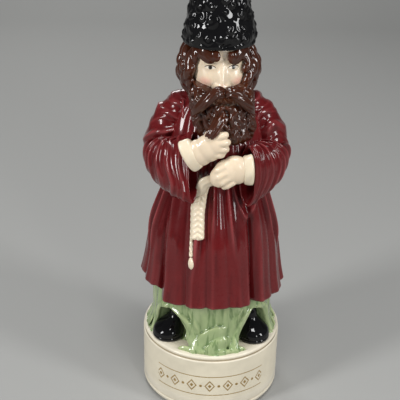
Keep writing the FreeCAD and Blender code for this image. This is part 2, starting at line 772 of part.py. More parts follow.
def make_moustache():
    """Two drooping lobes that meet under the nose."""
    span, thick = size.moustache_span, size.moustache_radius
    z = SHOULDER_Z + size.beard_top
    front = size.beard_front
    rows = [
        (0.0, -0.82, 0.6, 0.6),
        (0.38, -0.88, -0.5, 1.0),
        (0.72, -0.89, -4.5, 0.9),
        (1.0, -0.84, -9.5, 0.3),
    ]
    lobes = []
    for side in (RIGHT, LEFT):
        outlines = []
        for share, forward, rise, fullness in rows:
            centre = Vector(side * span * share, front * forward, z + rise)
            heading = Vector(side, 0, -1.2 * share)
            r = thick * fullness
            outlines.append(limb_ring(centre, heading, Vector(0, -1, 0), r, r, 10))
        lobes.append(loft(outlines))
    return form("moustache_form", lobes[0].fuse(lobes[1]))


# ---------------------------------------------------------------- the neck, the hat and its cork

def make_neck():
    """The neck of the bottle, a tube that stands in the head, with its lip above the head."""
    corners = [
        (size.neck_bore, NECK_Z),
        (size.neck_outer, NECK_Z),
        (size.neck_outer, LIP_Z),
        (size.neck_bore, LIP_Z),
    ]
    return turned("neck_turned", corners)


def make_hat():
    """The hollow fur hat with the plug under it. A vent runs up through the plug."""
    wall = size.hat_wall
    recess = size.neck_outer + size.lip_clearance
    seat = recess + size.hat_seat_width
    brim, low = size.hat_radius, size.hat_low_radius
    mid, top = size.hat_mid_radius, size.hat_top_radius
    low_z = CROWN_Z + size.hat_height / 4
    mid_z = CROWN_Z + size.hat_height / 2
    edge_z = TOP_Z - size.crown_rise
    floor_z = HAT_INNER_Z + wall
    corners = [
        (size.vent_radius, PLUG_Z),
        (size.plug_radius, PLUG_Z),
        (size.plug_radius, HAT_INNER_Z),
        (recess, HAT_INNER_Z),
        (recess, CROWN_Z),
        (seat, CROWN_Z),
        (brim, CROWN_Z + size.brim_lift),
        (low, low_z),
        (mid, mid_z),
        (top, edge_z),
        (ZERO, TOP_Z),
        (ZERO, TOP_Z - wall),
        (top - wall, edge_z - wall),
        (mid - wall, mid_z),
        (low - wall, low_z),
        (low - wall, floor_z),
        (size.vent_radius, floor_z),
    ]
    body = turned("hat_turned", corners)
    round_edges(body, "crown_rounding", [(top, edge_z)], size.crown_round)
    return body


def make_cork():
    """The cork round the hat's plug, which grips the neck."""
    corners = [
        (size.plug_radius, CORK_Z),
        (size.neck_bore - size.cork_clearance, CORK_Z),
        (size.neck_bore - size.cork_clearance, HAT_INNER_Z),
        (size.plug_radius, HAT_INNER_Z),
    ]
    return turned("cork_turned", corners)


# ---------------------------------------------------------------- what is cut by what

foot_space, body_space, throat_space = make_foot_space(), make_body_space(), make_throat_space()
skirt_outside = cut("skirt_outside", make_skirt(), [make_hem_arches()])
bodice_outside = make_bodice()
coat = [skirt_outside, bodice_outside]
boot_right = keep("boot_right", make_boot(RIGHT))
boot_left = keep("boot_left", make_boot(LEFT))

keep("base_drum", cut("base_drum", make_drum(), [make_drum_space(), foot_space]))
keep("coat_skirt", cut("coat_skirt", skirt_outside, [body_space]))
keep("coat_bodice", cut("coat_bodice", bodice_outside, [body_space, throat_space]))
niches = [make_niche(RIGHT), make_niche(LEFT)]
grass_tools = [skirt_outside, foot_space, body_space] + niches + [boot_right, boot_left]
keep("grass_mound", cut("grass_mound", make_grass(), grass_tools))

sleeve_right = keep("sleeve_right", cut("sleeve_right", make_sleeve(RIGHT), coat))
sleeve_left = keep("sleeve_left", cut("sleeve_left", make_sleeve(LEFT), coat))
sleeves = [sleeve_right, sleeve_left]
sash = keep("sash_belt", cut("sash_belt", make_sash(), [bodice_outside] + sleeves))
hand_right_tools = [bodice_outside, sleeve_right]
hand_right = keep("hand_right", cut("hand_right", make_hand(RIGHT), hand_right_tools))
hand_left_tools = [bodice_outside, sleeve_left, sash, hand_right]
hand_left = keep("hand_left", cut("hand_left", make_hand(LEFT), hand_left_tools))
hands = [hand_right, hand_left]
keep("cuff_right", cut("cuff_right", make_cuff(RIGHT), [bodice_outside, sleeve_right] + hands))
keep("cuff_left", cut("cuff_left", make_cuff(LEFT), [bodice_outside, sleeve_left] + hands))

neck_bar = cylinder("neck_bar", size.neck_outer, size.neck_length, NECK_Z)
head_outside = make_head()
keep("head_shell", cut("head_shell", head_outside, [bodice_outside, throat_space, neck_bar]))
hair_tools = [make_face_window(), head_outside, bodice_outside] + sleeves
hair = keep("hair", cut("hair", make_hair(), hair_tools))
beard_tools = [head_outside, hair, bodice_outside, hand_right] + sleeves
beard = keep("beard", cut("beard", make_beard(), beard_tools))
keep("moustache", cut("moustache", make_moustache(), [head_outside, beard, hair]))

long_x = -size.sash_side - size.long_end_width / 2
short_x = -size.sash_side + size.short_end_width / 2 - size.sash_end_lap
long_form = make_sash_end(
    "long_form", long_x, size.long_end_width, size.long_end_length, (0.8, 1.0, 0.9, 0.5, 1.0, 0.4)
)
short_form = make_sash_end(
    "short_form", short_x, size.short_end_width, size.short_end_length, (0.7, 1.0, 1.0, 0.8)
)
end_tools = coat + [sash, sleeve_right, hand_left]
long_end = keep("sash_end_long", cut("sash_end_long", long_form, end_tools))
keep("sash_end_short", cut("sash_end_short", short_form, end_tools + [long_end]))

keep("neck_ring", make_neck())
keep("hat", make_hat())
keep("cork_sleeve", make_cork())


# ---------------------------------------------------------------- checks and files

doc.recompute()
for item in doc.Objects:
    if "Invalid" in item.State or "Error" in item.State:
        raise RuntimeError(f"{item.Name} failed: {item.State}")
for label, feature in nodes.items():
    if feature.Shape.isNull() or not feature.Shape.isValid():
        raise RuntimeError(f"{label} has no valid shape")

os.makedirs("parts", exist_ok=True)
for label, feature in nodes.items():
    shape = feature.Shape
    shape.exportStep(f"parts/{label}.step")
    box = shape.BoundBox
    print(
        f"{label:16s} solids {len(shape.Solids)} volume {shape.Volume:9.0f}  "
        f"x {box.XMin:6.1f} {box.XMax:6.1f}  y {box.YMin:6.1f} {box.YMax:6.1f}  "
        f"z {box.ZMin:6.1f} {box.ZMax:6.1f}"
    )
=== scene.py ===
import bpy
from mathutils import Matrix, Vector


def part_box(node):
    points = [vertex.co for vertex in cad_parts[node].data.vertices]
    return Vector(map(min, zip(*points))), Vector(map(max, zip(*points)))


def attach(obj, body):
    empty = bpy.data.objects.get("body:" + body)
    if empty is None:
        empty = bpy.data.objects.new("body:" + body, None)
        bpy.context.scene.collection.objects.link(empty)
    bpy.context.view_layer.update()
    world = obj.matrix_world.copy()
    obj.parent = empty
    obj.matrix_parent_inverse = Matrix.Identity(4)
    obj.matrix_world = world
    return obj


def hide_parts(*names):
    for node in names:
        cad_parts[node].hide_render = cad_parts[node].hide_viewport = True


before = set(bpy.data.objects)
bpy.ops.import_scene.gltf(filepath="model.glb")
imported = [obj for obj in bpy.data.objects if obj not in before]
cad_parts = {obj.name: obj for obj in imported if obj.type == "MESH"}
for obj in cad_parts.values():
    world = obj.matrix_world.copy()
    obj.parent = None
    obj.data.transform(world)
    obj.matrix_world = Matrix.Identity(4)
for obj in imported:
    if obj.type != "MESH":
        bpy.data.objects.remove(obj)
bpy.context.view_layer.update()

import math

import bpy
import numpy as np
from bpy.props import FloatProperty, FloatVectorProperty, IntProperty, PointerProperty
from mathutils import Matrix
from numpy import clip, cos, cross, linspace, pi, sin, sqrt, stack

# The looks of a glazed ceramic liquor decanter, a bearded man in a belted coat and a fur hat who
# stands in grass on a round drum. Lengths are in millimetres up to the moment a mesh is made.
# +Z is up and the figure faces -Y. Right and left are the figure's own, so right is at -X.
# Angles round the figure are 0 at the front and grow towards its left.

bl_info = {
    "name": "Figural decanter",
    "version": (1, 0, 0),
    "blender": (4, 5, 0),
    "location": "View3D > Sidebar > Decanter",
    "description": "Models a glazed figural liquor decanter over its packed frame",
    "category": "Object",
}

MM = 0.001
X, Y, Z = np.eye(3)
FRONT, RIGHT, LEFT = -Y, -1, 1


def extent(node, axis):
    """Lowest and highest coordinate of a CAD node along an axis, in millimetres."""
    low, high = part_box(node)
    return low[axis] / MM, high[axis] / MM


# ---------------------------------------------------------------- levels that the frame gives

DRUM_RADIUS = extent("base_drum", 0)[1]
LEDGE_Z = extent("base_drum", 2)[1]
HEM_Z, WAIST_Z = extent("coat_skirt", 2)
SASH_TOP_Z = extent("sash_belt", 2)[1]
SHOULDER_Z = extent("coat_bodice", 2)[1]
CROWN_Z = extent("head_shell", 2)[1]
NECK_Z, LIP_Z = extent("neck_ring", 2)
NECK_RADIUS = extent("neck_ring", 0)[1]
PLUG_Z, TOP_Z = extent("hat", 2)
HAT_RADIUS = extent("hat", 0)[1]

# Each piece's material slot, the CAD node that it stands in for, and the passes that its crests
# are measured against; for a fused piece also its voxel size and the passes that soften it.
PIECES = {
    "drum": ("drum_cream", "base_drum", 9),
    "grass": ("grass_green", "grass_mound", 10, 0.64, 2),
    "boot_right_piece": ("boot_black", "boot_right", 10),
    "boot_left_piece": ("boot_black", "boot_left", 10),
    "skirt": ("coat_burgundy", "coat_skirt", 23),
    "bodice": ("coat_burgundy", "coat_bodice", 30),
    "sleeve_right_piece": ("coat_burgundy", "sleeve_right", 30),
    "sleeve_left_piece": ("coat_burgundy", "sleeve_left", 30),
    "sash": ("sash_cream", "sash_belt", 6),
    "sash_plait": ("sash_cream", "sash_end_short", 6, 0.26, 2),
    "sash_cord": ("sash_cream", "sash_end_long", 6, 0.24, 2),
    "hand_right_piece": ("hand_cream", "hand_right", 8, 0.27, 16),
    "hand_left_piece": ("hand_cream", "hand_left", 8, 0.27, 16),
    "cuff_right_piece": ("cuff_cream", "cuff_right", 8),
    "cuff_left_piece": ("cuff_cream", "cuff_left", 8),
    "head": ("skin", "head_shell", 6),
    "hair_piece": ("hair_brown", "hair", 14, 0.42, 8),
    "beard_piece": ("hair_brown", "beard", 14, 0.34, 3),
    "moustache_piece": ("hair_brown", "moustache", 6, 0.28, 2),
    "hat_piece": ("hat_black", "hat", 10),
}


# ---------------------------------------------------------------- what a user may change

def size(name, about, value, kind=FloatProperty):
    return kind(name=name, description=about, default=value)


def colour(name, about, *value):
    return FloatVectorProperty(name=name, description=about, subtype="COLOR", default=value)


class FigureSizes(bpy.types.PropertyGroup):
    """Sizes of the figure that the frame leaves open, in millimetres and degrees."""

    pleat: size("Pleat", "Depth of the coat's pleats at the hem", 3.3)
    wrinkle: size("Wrinkle", "Height of the folds in the sleeves", 1.6)
    head_turn: size("Head turn", "Degrees that the head turns to the figure's left", 6.5)
    curl: size("Curl", "Thickness of a lock of the beard", 1.7)
    fur: size("Fur", "Height of the curls of the hat", 1.35)
    blade_count: size("Blades", "Blades of grass round the mound", 34, IntProperty)
    seed: size("Seed", "Start of the random draws", 7, IntProperty)


class GlazeColours(bpy.types.PropertyGroup):
    """Colours of the glazes where they lie neither thick nor thin."""

    burgundy: colour("Coat", "Glaze of the coat", 0.106, 0.0062, 0.0074)
    green: colour("Grass", "Glaze of the grass", 0.27, 0.345, 0.165)
    brown: colour("Hair", "Glaze of the hair", 0.042, 0.0105, 0.0040)
    cream: colour("Skin", "Glaze of face and hands", 0.69, 0.565, 0.415)
    ivory: colour("Drum", "Glaze of the drum", 0.66, 0.60, 0.465)
    gold: colour("Gold", "Painted gold", 0.50, 0.33, 0.13)


def sizes():
    return bpy.context.scene.decanter_sizes


def colours():
    return bpy.context.scene.decanter_colours


def draws(number=0):
    """Random draws that are the same each run: a number for each part that needs its own."""
    return np.random.default_rng(sizes().seed + number)


# ---------------------------------------------------------------- numbers and curves

def ease(value):
    """0 below 0, 1 above 1, and the smooth cubic 3v^2 - 2v^3 between."""
    value = clip(value, 0.0, 1.0)
    return value * value * (3 - 2 * value)


def bell(value, width):
    """The bell curve exp(-(value / width)^2)."""
    return np.exp(-((value / width) ** 2))


def quarter(value):
    """A quarter circle that rises steeply from 0 at 0 and runs level into 1 at 1."""
    return sqrt(clip(1 - (1 - clip(value, 0, 1)) ** 2, 0, 1))


def rounded(count, start, end):
    """Shares of full thickness along a tube: quarter circles over the start and end shares."""
    u = linspace(0, 1, count)
    return np.maximum(quarter(u / start) * quarter((1 - u) / end), 0.02)


def through(keys, count):
    """A smooth curve through the keys (rows of numbers), at count even steps: the Catmull-Rom cubic
    of each span, whose slope at a key is half the difference of the keys beside it."""
    keys = np.asarray(keys, float)
    padded = np.vstack([2 * keys[0] - keys[1], keys, 2 * keys[-1] - keys[-2]])
    place = linspace(0, len(keys) - 1, count)
    span = np.minimum(place.astype(int), len(keys) - 2)
    t = (place - span)[:, None]
    a, b, c, d = (padded[span + i] for i in range(4))
    return 0.5 * (2 * b + (c - a) * t + (2 * a - 5 * b + 4 * c - d) * t**2
                  + (3 * b - a - 3 * c + d) * t**3)


def circle(count, start=0.0):
    """Even angles once round, from the start angle."""
    return linspace(start, start + 2 * pi, count, endpoint=False)


def grid(rows, around, start=-pi):
    """A column of shares of the height, from 0 to 1, and a row of angles once round."""
    return linspace(0, 1, rows)[:, None], circle(around, start)[None]


def oval(angle, wide, deep, z):
    """Points at an angle from the front on ovals of half width wide and half depth deep."""
    return stack(np.broadcast_arrays(wide * sin(angle), -deep * cos(angle), z), -1)


def unit(vectors):
    return vectors / np.maximum(np.linalg.norm(vectors, axis=-1, keepdims=True), 1e-9)


def axes_along(path, side, axis=0):
    """Two unit directions across a path: side, made square to it, and the one square to both."""
    ahead = unit(np.gradient(path, axis=axis))
    side = unit(side - np.sum(side * ahead, -1, keepdims=True) * ahead)
    return side, cross(ahead, side)


def sideways(path, out=None):
    """Directions square to a path and to the way out, which is away from the axis if not given."""
    out = unit(path * [1, 1, 0]) if out is None else out
    return cross(unit(np.gradient(path, axis=0)), out)


def turned(points):
    """The points turned about Z with the head."""
    angle = math.radians(sizes().head_turn)
    c, s = math.cos(angle), math.sin(angle)
    x, y, z = points[..., 0], points[..., 1], points[..., 2]
    return stack([x * c - y * s, x * s + y * c, z], -1)


# ---------------------------------------------------------------- forms: points and faces

class Form:
    """Points in millimetres and the faces between them, as rows of four or three point numbers."""

    def __init__(self, points, quads, tris=np.zeros((0, 3), int)):
        self.points, self.quads, self.tris = points, quads, tris

    def outward(self):
        """The same form with its faces pointing outwards, told by the sign of the volume that the
        tetrahedra between the origin and each triangle add up to."""
        volume = 0.0
        for corners in (self.tris, self.quads[:, [0, 1, 2]], self.quads[:, [0, 2, 3]]):
            a, b, c = (self.points[corners[:, i]] for i in range(3))
            volume += float(np.sum(a * cross(b, c)))
        if volume < 0:
            self.quads, self.tris = self.quads[:, ::-1], self.tris[:, ::-1]
        return self


def skin(rings):
    """A closed form over rings of points (rows, columns, 3): quads between neighbours, and at each
    end a fan of triangles to the middle of the last ring."""
    rows, columns = rings.shape[:2]
    here = np.arange(columns)
    after = (here + 1) % columns
    base = (np.arange(rows - 1) * columns)[:, None]
    quads = stack([base + here, base + after, base + columns + after, base + columns + here], -1)
    low, high, top = rows * columns, rows * columns + 1, (rows - 1) * columns
    fans = np.vstack([
        stack([np.full(columns, low), after, here], -1),
        stack([np.full(columns, high), top + here, top + after], -1),
    ])
    points = np.vstack([rings.reshape(-1, 3), rings[0].mean(0)[None], rings[-1].mean(0)[None]])
    return Form(points, quads.reshape(-1, 4), fans).outward()


def gathered(forms):
    """Several forms as one."""
    base = np.cumsum([0] + [len(form.points) for form in forms])
    return Form(
        np.vstack([form.points for form in forms]),
        np.vstack([form.quads + start for form, start in zip(forms, base)]),
        np.vstack([form.tris + start for form, start in zip(forms, base)]),
    )


def with_head(form):
    """The form turned with the head."""
    form.points = turned(form.points)
    return form


def tube(path, side, wide, tall, around, lift=None):
    """A form along a path (rows, 3): each ring is the ellipse of half axes wide, towards the side
    direction, and tall, across it, in the plane square to the path. lift(u, angle) is added to the
    radius, with u from 0 to 1 along the path and the angle from the side direction."""
    side, up = axes_along(path, side)
    angle = circle(around)[:, None]
    wide, tall = (np.broadcast_to(half, len(path))[:, None, None] for half in (wide, tall))
    arm = side[:, None] * cos(angle) * wide + up[:, None] * sin(angle) * tall
    if lift is not None:
        arm = arm + unit(arm) * lift(linspace(0, 1, len(path))[:, None], angle.T)[..., None]
    return skin(path[:, None] + arm)


def ball(centre, half_axes, turn):
    """An ellipsoid, turned about Y by degrees, from its south pole up."""
    around = 36
    lift = linspace(-pi / 2, pi / 2, around // 2 + 1)[1:-1, None]
    angle = circle(around)[None]
    a, b, c = half_axes
    x, y = a * cos(lift) * cos(angle), b * cos(lift) * sin(angle)
    z = c * sin(lift) * np.ones_like(angle)
    tilt = math.radians(turn)
    rings = stack([x * math.cos(tilt) + z * math.sin(tilt), y,
                   z * math.cos(tilt) - x * math.sin(tilt)], -1)
    return skin(rings + np.array(centre))


def locks(path, outward, radius):
    """Many tapered tubes at once. path is (locks, steps, 3), outward (locks, 3) and radius
    (locks,): each is a round tube whose radius swells from its root and closes at its tip."""
    side, up = axes_along(path, outward[:, None], axis=1)
    swell = rounded(path.shape[1], 0.35, 0.45)[None, :, None, None] * radius[:, None, None, None]
    angle = circle(9)[:, None]
    rings = path[:, :, None] + swell * (side[:, :, None] * cos(angle) + up[:, :, None] * sin(angle))
    return gathered([skin(lock) for lock in rings])


# ---------------------------------------------------------------- from forms to objects

def fetched(items, name, width, kind=np.float32):
    """An attribute of all the items, as rows of width numbers."""
    values = np.empty(len(items) * width, kind)
    items.foreach_get(name, values)
    return values.reshape(-1, width)


def relaxed(points, mesh, passes):
    """The points after each has gone half way to the mean of its neighbours along the mesh's
    edges, passes times."""
    a, b = fetched(mesh.edges, "vertices", 2, np.int32).T
    count = np.maximum(np.bincount(np.concatenate([a, b]), minlength=len(points)), 1)[:, None]
    for _ in range(passes):
        total = stack([np.bincount(a, points[b, i], len(points))
                       + np.bincount(b, points[a, i], len(points)) for i in range(3)], -1)
        points = points + 0.5 * (total / count - points)
    return points


def mesh_from(name, form, scale=MM):
    """A smooth-shaded Blender mesh of the form, with its points times scale."""
    mesh = bpy.data.meshes.new(name)
    mesh.vertices.add(len(form.points))
    mesh.vertices.foreach_set("co", (form.points * scale).astype(np.float32).ravel())
    corners = np.concatenate([form.quads.ravel(), form.tris.ravel()]).astype(np.int32)
    lengths = np.repeat([4, 3], [len(form.quads), len(form.tris)])
    mesh.loops.add(len(corners))
    mesh.loops.foreach_set("vertex_index", corners)
    mesh.polygons.add(len(lengths))
    mesh.polygons.foreach_set("loop_start", (np.cumsum(lengths) - lengths).astype(np.int32))
    mesh.polygons.foreach_set("use_smooth", np.ones(len(lengths), bool))
    mesh.update(calc_edges=True)
    return mesh


def linked(name, data):
    """A new object in the scene that holds the data."""
    thing = bpy.data.objects.new(name, data)
    bpy.context.scene.collection.objects.link(thing)
    return thing


def stand(thing, place, *axes):
    """Puts an object's X, Y and Z axes along the given ones, with its origin at the place."""
    rows = [(*(axis[i] for axis in axes), place[i] * MM) for i in range(3)]
    thing.matrix_world = Matrix([*rows, (0, 0, 0, 1)])


def fused(form, voxel, passes):
    """One soft skin round overlapping closed forms: a voxel remesh at the voxel size, whose points
    then relax, as wet clay is smoothed with a sponge."""
    raw = linked("clay", mesh_from("clay", form, 1.0))
    remesh = raw.modifiers.new("clay", "REMESH")
    remesh.mode = "VOXEL"
    remesh.voxel_size = voxel
    ready = raw.evaluated_get(bpy.context.evaluated_depsgraph_get())
    mesh = bpy.data.meshes.new_from_object(ready)
    corners = fetched(mesh.loops, "vertex_index", 1, np.int32).reshape(-1, 4)
    points = relaxed(fetched(mesh.vertices, "co", 3).astype(float), mesh, passes)
    bpy.data.objects.remove(raw)
    bpy.data.meshes.remove(mesh)
    return Form(points, corners).outward()


def piece(name, form, material):
    """Makes a piece by its row of PIECES. Its point attribute "crest" is how far, in millimetres,
    each point stands out of the relaxed surface: above 0 on crests, below 0 in creases."""
    slot, node, reach, *soften = PIECES[name]
    if soften:
        form = fused(form, *soften)
    mesh = mesh_from(name, form)
    rest = form.points - relaxed(form.points, mesh, reach)
    crest = np.sum(rest * fetched(mesh.vertex_normals, "vector", 3), -1).astype(np.float32)
    mesh.attributes.new("crest", "FLOAT", "POINT").data.foreach_set("value", crest)
    mesh.materials.append(material)
    made = linked(name, mesh)
    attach(made, "hat_stopper" if node == "hat" else "bottle")
    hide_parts(node)


# ---------------------------------------------------------------- materials

class Wire:
    """A node's output. Sums and products with it add Math nodes."""

    def __init__(self, finish, socket):
        self.finish, self.socket = finish, socket

    def math(self, operation, *values):
        return self.finish.add("ShaderNodeMath", values, operation=operation)

    def __add__(self, other):
        return self.math("ADD", self, other)

    def __sub__(self, other):
        return self.math("SUBTRACT", self, other)

    def __rsub__(self, other):
        return self.math("SUBTRACT", other, self)

    def __mul__(self, other):
        return self.math("MULTIPLY", self, other)

    def __truediv__(self, other):
        return self.math("DIVIDE", self, other)

    def __pow__(self, other):
        return self.math("POWER", self, other)

    __radd__, __rmul__ = __add__, __mul__

    def at_least(self, other):
        return self.math("MAXIMUM", self, other)

    def size(self):
        return self.math("ABSOLUTE", self)

    def between(self, low, high):
        """0 at low to 1 at high, with a smooth step."""
        values = {"Value": self, "From Min": low, "From Max": high}
        return self.finish.add("ShaderNodeMapRange", values, interpolation_type="SMOOTHSTEP")

    def below(self, low, high):
        """1 at low to 0 at high, with a smooth step."""
        return 1 - self.between(low, high)


class Finish:
    """A procedural material in the making."""

    def __init__(self, name):
        self.material = bpy.data.materials.new(name)
        self.material.use_nodes = True
        self.tree = self.material.node_tree
        self.shader = self.tree.nodes["Principled BSDF"]

    def add(self, kind, values=(), output=0, **settings):
        """Adds a node of a type: its settings first, then its sockets' values."""
        node = self.tree.nodes.new(kind)
        for name, value in settings.items():
            setattr(node, name, value)
        for key, value in values.items() if isinstance(values, dict) else enumerate(values):
            self.plug(node.inputs[key], value)
        return Wire(self, node.outputs[output])

    def plug(self, socket, value):
        if isinstance(value, Wire):
            self.tree.links.new(value.socket, socket)
        else:
            socket.default_value = value

    def set(self, **values):
        """Sets the shader's sockets, whose names have an underscore for each space."""
        for name, value in values.items():
            self.plug(self.shader.inputs[name.replace("_", " ")], value)

    def base(self):
        """The colour that the shader has so far."""
        return Wire(self, self.shader.inputs["Base Color"].links[0].from_socket)

    def place(self):
        """The point on the object, in metres."""
        return self.add("ShaderNodeTexCoord", output="Object")

    def parts(self):
        """The three coordinates of that point, in millimetres."""
        split = self.add("ShaderNodeSeparateXYZ", [self.place()])
        return [Wire(self, output) * (1 / MM) for output in split.socket.node.outputs]

    def crest(self):
        return self.add("ShaderNodeAttribute", output="Fac", attribute_name="crest")

    def noise(self, scale, detail, stretch=(1, 1, 1), **more):
        """Noise with scale features a metre, stretched along the axes."""
        place = self.add("ShaderNodeMapping", {"Vector": self.place(), "Scale": stretch})
        values = {"Vector": place, "Scale": scale, "Detail": detail, **more}
        return self.add("ShaderNodeTexNoise", values)

    def mix(self, share, low, high):
        """A colour from low to high as share goes from 0 to 1."""
        low, high = (end if isinstance(end, Wire) else (*end, 1.0) for end in (low, high))
        values = {"Factor": share, 6: low, 7: high}
        return self.add("ShaderNodeMix", values, output=2, data_type="RGBA")

    def bump(self, height, distance):
        """A normal from a height of 0 to 1 that stands for a distance in millimetres."""
        return self.add("ShaderNodeBump", {"Height": height, "Distance": distance * MM})


def tinted(colour, *factor):
    return tuple(min(1.0, channel * share) for channel, share in zip(colour, factor))


def glaze(name, colour, crease, crest, depth, rough, coat, ripple):
    """A fluid glaze: darker in creases, where it pools and where shade is painted in, and lighter
    on crests, where it runs thin and where highlight is painted in, with long soft ripples in its
    surface and a little unevenness in its colour. depth is the crest height, in millimetres, at
    which it is lightest."""
    finish = Finish(name)
    height = finish.crest()
    # Painted highlight on crests and painted shade in creases, over the glaze's thinning and
    # pooling.
    base = finish.mix(height.between(0.0, depth), colour, crest)
    base = finish.mix((-1 * height).between(0.05 * depth, 1.2 * depth), base, crease)
    cloud = finish.noise(90, 3.0).between(0.35, 0.75)
    finish.set(
        Base_Color=finish.mix(cloud * 0.22, base, tinted(colour, 0.6, 0.6, 0.6)),
        Roughness=rough + 0.08 * finish.noise(260, 2.0),
        Specular_IOR_Level=0.1,
        Coat_Roughness=0.03,
        Coat_Weight=coat,
        Normal=finish.bump(finish.noise(140, 1.0), ripple * 3),
    )
    return finish


# ---------------------------------------------------------------- the drum

def lathe(profile):
    """A form turned about Z from its (radius, height) profile."""
    radius, z = profile[:, :1], profile[:, 1:]
    return skin(oval(circle(360)[None], radius, radius, z))


def arc(centre, radius, start, end, count):
    """Points of an arc, from a start to an end angle in degrees."""
    angle = np.radians(linspace(start, end, count))
    return stack([centre[0] + radius * cos(angle), centre[1] + radius * sin(angle)], -1)


def drum_profile():
    """Half section of the drum: foot ring, lower line, side, rounded rim, upper line, ledge."""
    r, bead = DRUM_RADIUS, 1.3
    bead_r, groove_z = DRUM_RADIUS - 1.75, LEDGE_Z - 3.0
    return np.vstack([
        [(0.4, 2.5), (30, 2.5), (35.5, 2.5)],
        arc((36.6, 0.9), 0.9, 180, 270, 5),
        arc((r - 3.0, 1.6), 1.6, 270, 330, 6),
        [(r - 0.5, 2.6), (r, 3.6), (r, 4.4)],
        arc((r + 0.25, 5.5), 0.75, 240, 120, 9),
        [(r, 6.6), (r, 12), (r, 20), (r, 28), (r, 36), (r, groove_z - 1.3)],
        arc((r - 0.9, groove_z - 1.1), 0.9, 0, 80, 7),
        arc((r - 0.15, groove_z), 1.05, 262, 110, 9),
        arc((bead_r, LEDGE_Z - bead), bead, -35, 90, 12),
        [(bead_r - 3, LEDGE_Z), (r - 10, LEDGE_Z), (20, LEDGE_Z), (0.4, LEDGE_Z)],
    ])


def ornament(finish):
    """Share of gold on the drum's front: two fine lines, and a row of lozenges with dots between,
    laid out along the arc length from the middle of the front."""
    pitch, middle_z, line_rise, half_length = 12.0, 22.5, 7.2, 38.2
    half_wide, half_tall = 3.6, 4.6
    x, y, z = finish.parts()
    along = x.math("ARCTAN2", x, -1 * y) * DRUM_RADIUS
    step = x.math("WRAP", along, pitch / 2, -pitch / 2)
    half_step = x.math("WRAP", along + pitch / 2, pitch / 2, -pitch / 2)
    rise = (z - middle_z).size()
    lozenge = step.size() / half_wide + rise / half_tall
    edge = (lozenge - 0.84).size().below(0.10, 0.16)
    core = lozenge.below(0.30, 0.38)
    dot = ((half_step * half_step + rise * rise) ** 0.5).below(0.85, 1.1)
    line = (rise - line_rise).size().below(0.22, 0.38)
    shown = along.size().below(half_length, half_length + 0.4)
    outside = ((x * x + y * y) ** 0.5).between(DRUM_RADIUS - 0.4, DRUM_RADIUS - 0.2)
    return edge.at_least(core).at_least(dot).at_least(line) * shown * outside


def drum_finish():
    """Ivory glaze with a satin sheen, faintly uneven, darker and warmer in its grooves, where it
    pools and shade is painted in, a little lighter on crests with painted highlight, and painted
    gold.
    """
    ivory = colours().ivory
    # Painted shade in the grooves and painted highlight on the bead.
    finish = glaze("ivory_glaze", ivory, tinted(ivory, 0.62, 0.52, 0.40),
                   tinted(ivory, 1.04, 1.05, 1.1), 0.12, rough=0.3, coat=0.0, ripple=0.03)
    wear = finish.noise(900, 3.0).between(0.30, 0.45)
    gold = ornament(finish) * (0.65 + 0.35 * wear)
    finish.set(
        Base_Color=finish.mix(gold, finish.base(), colours().gold),
        Metallic=gold * 0.85,
        Roughness=0.33 - 0.05 * gold,
        Coat_Weight=0.25,
        Coat_Roughness=0.2,
    )
    return finish.material


class DECANTER_OT_drum(bpy.types.Operator):
    """Makes the drum, with its two turned lines and its painted gold band."""

    bl_idname = "decanter.drum"
    bl_label = "Drum"

    def execute(self, context):
        piece("drum", lathe(drum_profile()), drum_finish())
        return {"FINISHED"}


# ---------------------------------------------------------------- the grass and boots

BOOT_X, BOOT_Y, BOOT_TALL = 28.0, -19.8, 21.5
BOOT_HALF = (10.6, 10.4)
# A boot's rings from the sole up: how full, how far back and how far inwards.
BOOT_RINGS = (
    (1.0, 0.0, 0.0), (1.01, 0.0, 0.0), (0.93, 0.5, 0.6), (0.68, 2.4, 2.2), (0.48, 3.6, 3.4),
    (0.42, 4.0, 3.8), (0.36, 4.2, 4.0),
)
# For each boot's niche in the grass: the angle from the front of its middle at the ledge and of its
# apex, in degrees, and half its width at the ledge and its height, in millimetres.
NICHES = ((-41.0, -47.0, 14.8, 24.0), (46.5, 45.5, 13.2, 26.0))
NICHE_RADIUS = 37.5
# The leaves in front: half width, half thickness, and points as leaf() takes them. The broad folded
# leaf, the one before it and the foot of both come first, then small ones beside and behind.
FRONT_LEAVES = (
    (7.0, 1.6, ((-10, 0.8, 1.0), (-5, 5.4, 1.7), (2, 10.2, 2.0), (10, 13.4, 1.8), (17, 15, 0.8))),
    (5.6, 1.9, ((-3, 0.8, 2.2), (4, 3.6, 2.9), (11, 6.2, 2.8), (19, 6.6, 1.2))),
    (1.9, 1.5, ((-19, 0.3, 0.8), (-8, 0.9, 1.6), (2, 1.2, 2.1), (12, 1.1, 2.1), (22, 0.8, 1.5),
                (31, 0.2, 0.8))),
    (3.0, 1.5, ((-9, 0.6, 1.4), (-15, 3.4, 1.7), (-20, 7.6, 1.4), (-23, 12.6, 0.8))),
    (2.2, 1.3, ((20, 0.5, 0.8), (26, 0.8, 0.9), (32, 0.3, 1.3))),
    (2.2, 1.3, ((-16, 0.5, 0.8), (-23, 0.8, 0.9), (-30, 0.3, 1.1))),
    (2.2, 0.9, ((-4, 11.0, 0.9), (-6, 20.0, 0.4), (-9, 28.0, 0.3), (-12, 36.0, 0.3))),
    (2.4, 1.0, ((18, 8.0, 0.9), (15, 18.0, 0.4), (14, 28.0, 0.3), (17, 36.0, 0.3))),
    (1.8, 0.8, ((3, 15.0, 0.7), (4, 22.0, 0.3), (2, 30.0, 0.2), (4, 37.0, 0.2))),
    (2.2, 0.9, ((24, 0.5, 1.2), (22, 9.0, 0.5), (21, 18.0, 0.4), (24, 27.0, 0.4))),
)


def mound_axes(rise):
    """Half width and half depth of the mound at a height over the ledge."""
    spread = 1.4 * np.exp(-rise / 8) + 2.6 * np.exp(-rise / 2.0)
    return 38.9 + spread, 35.4 + 1.6 * spread


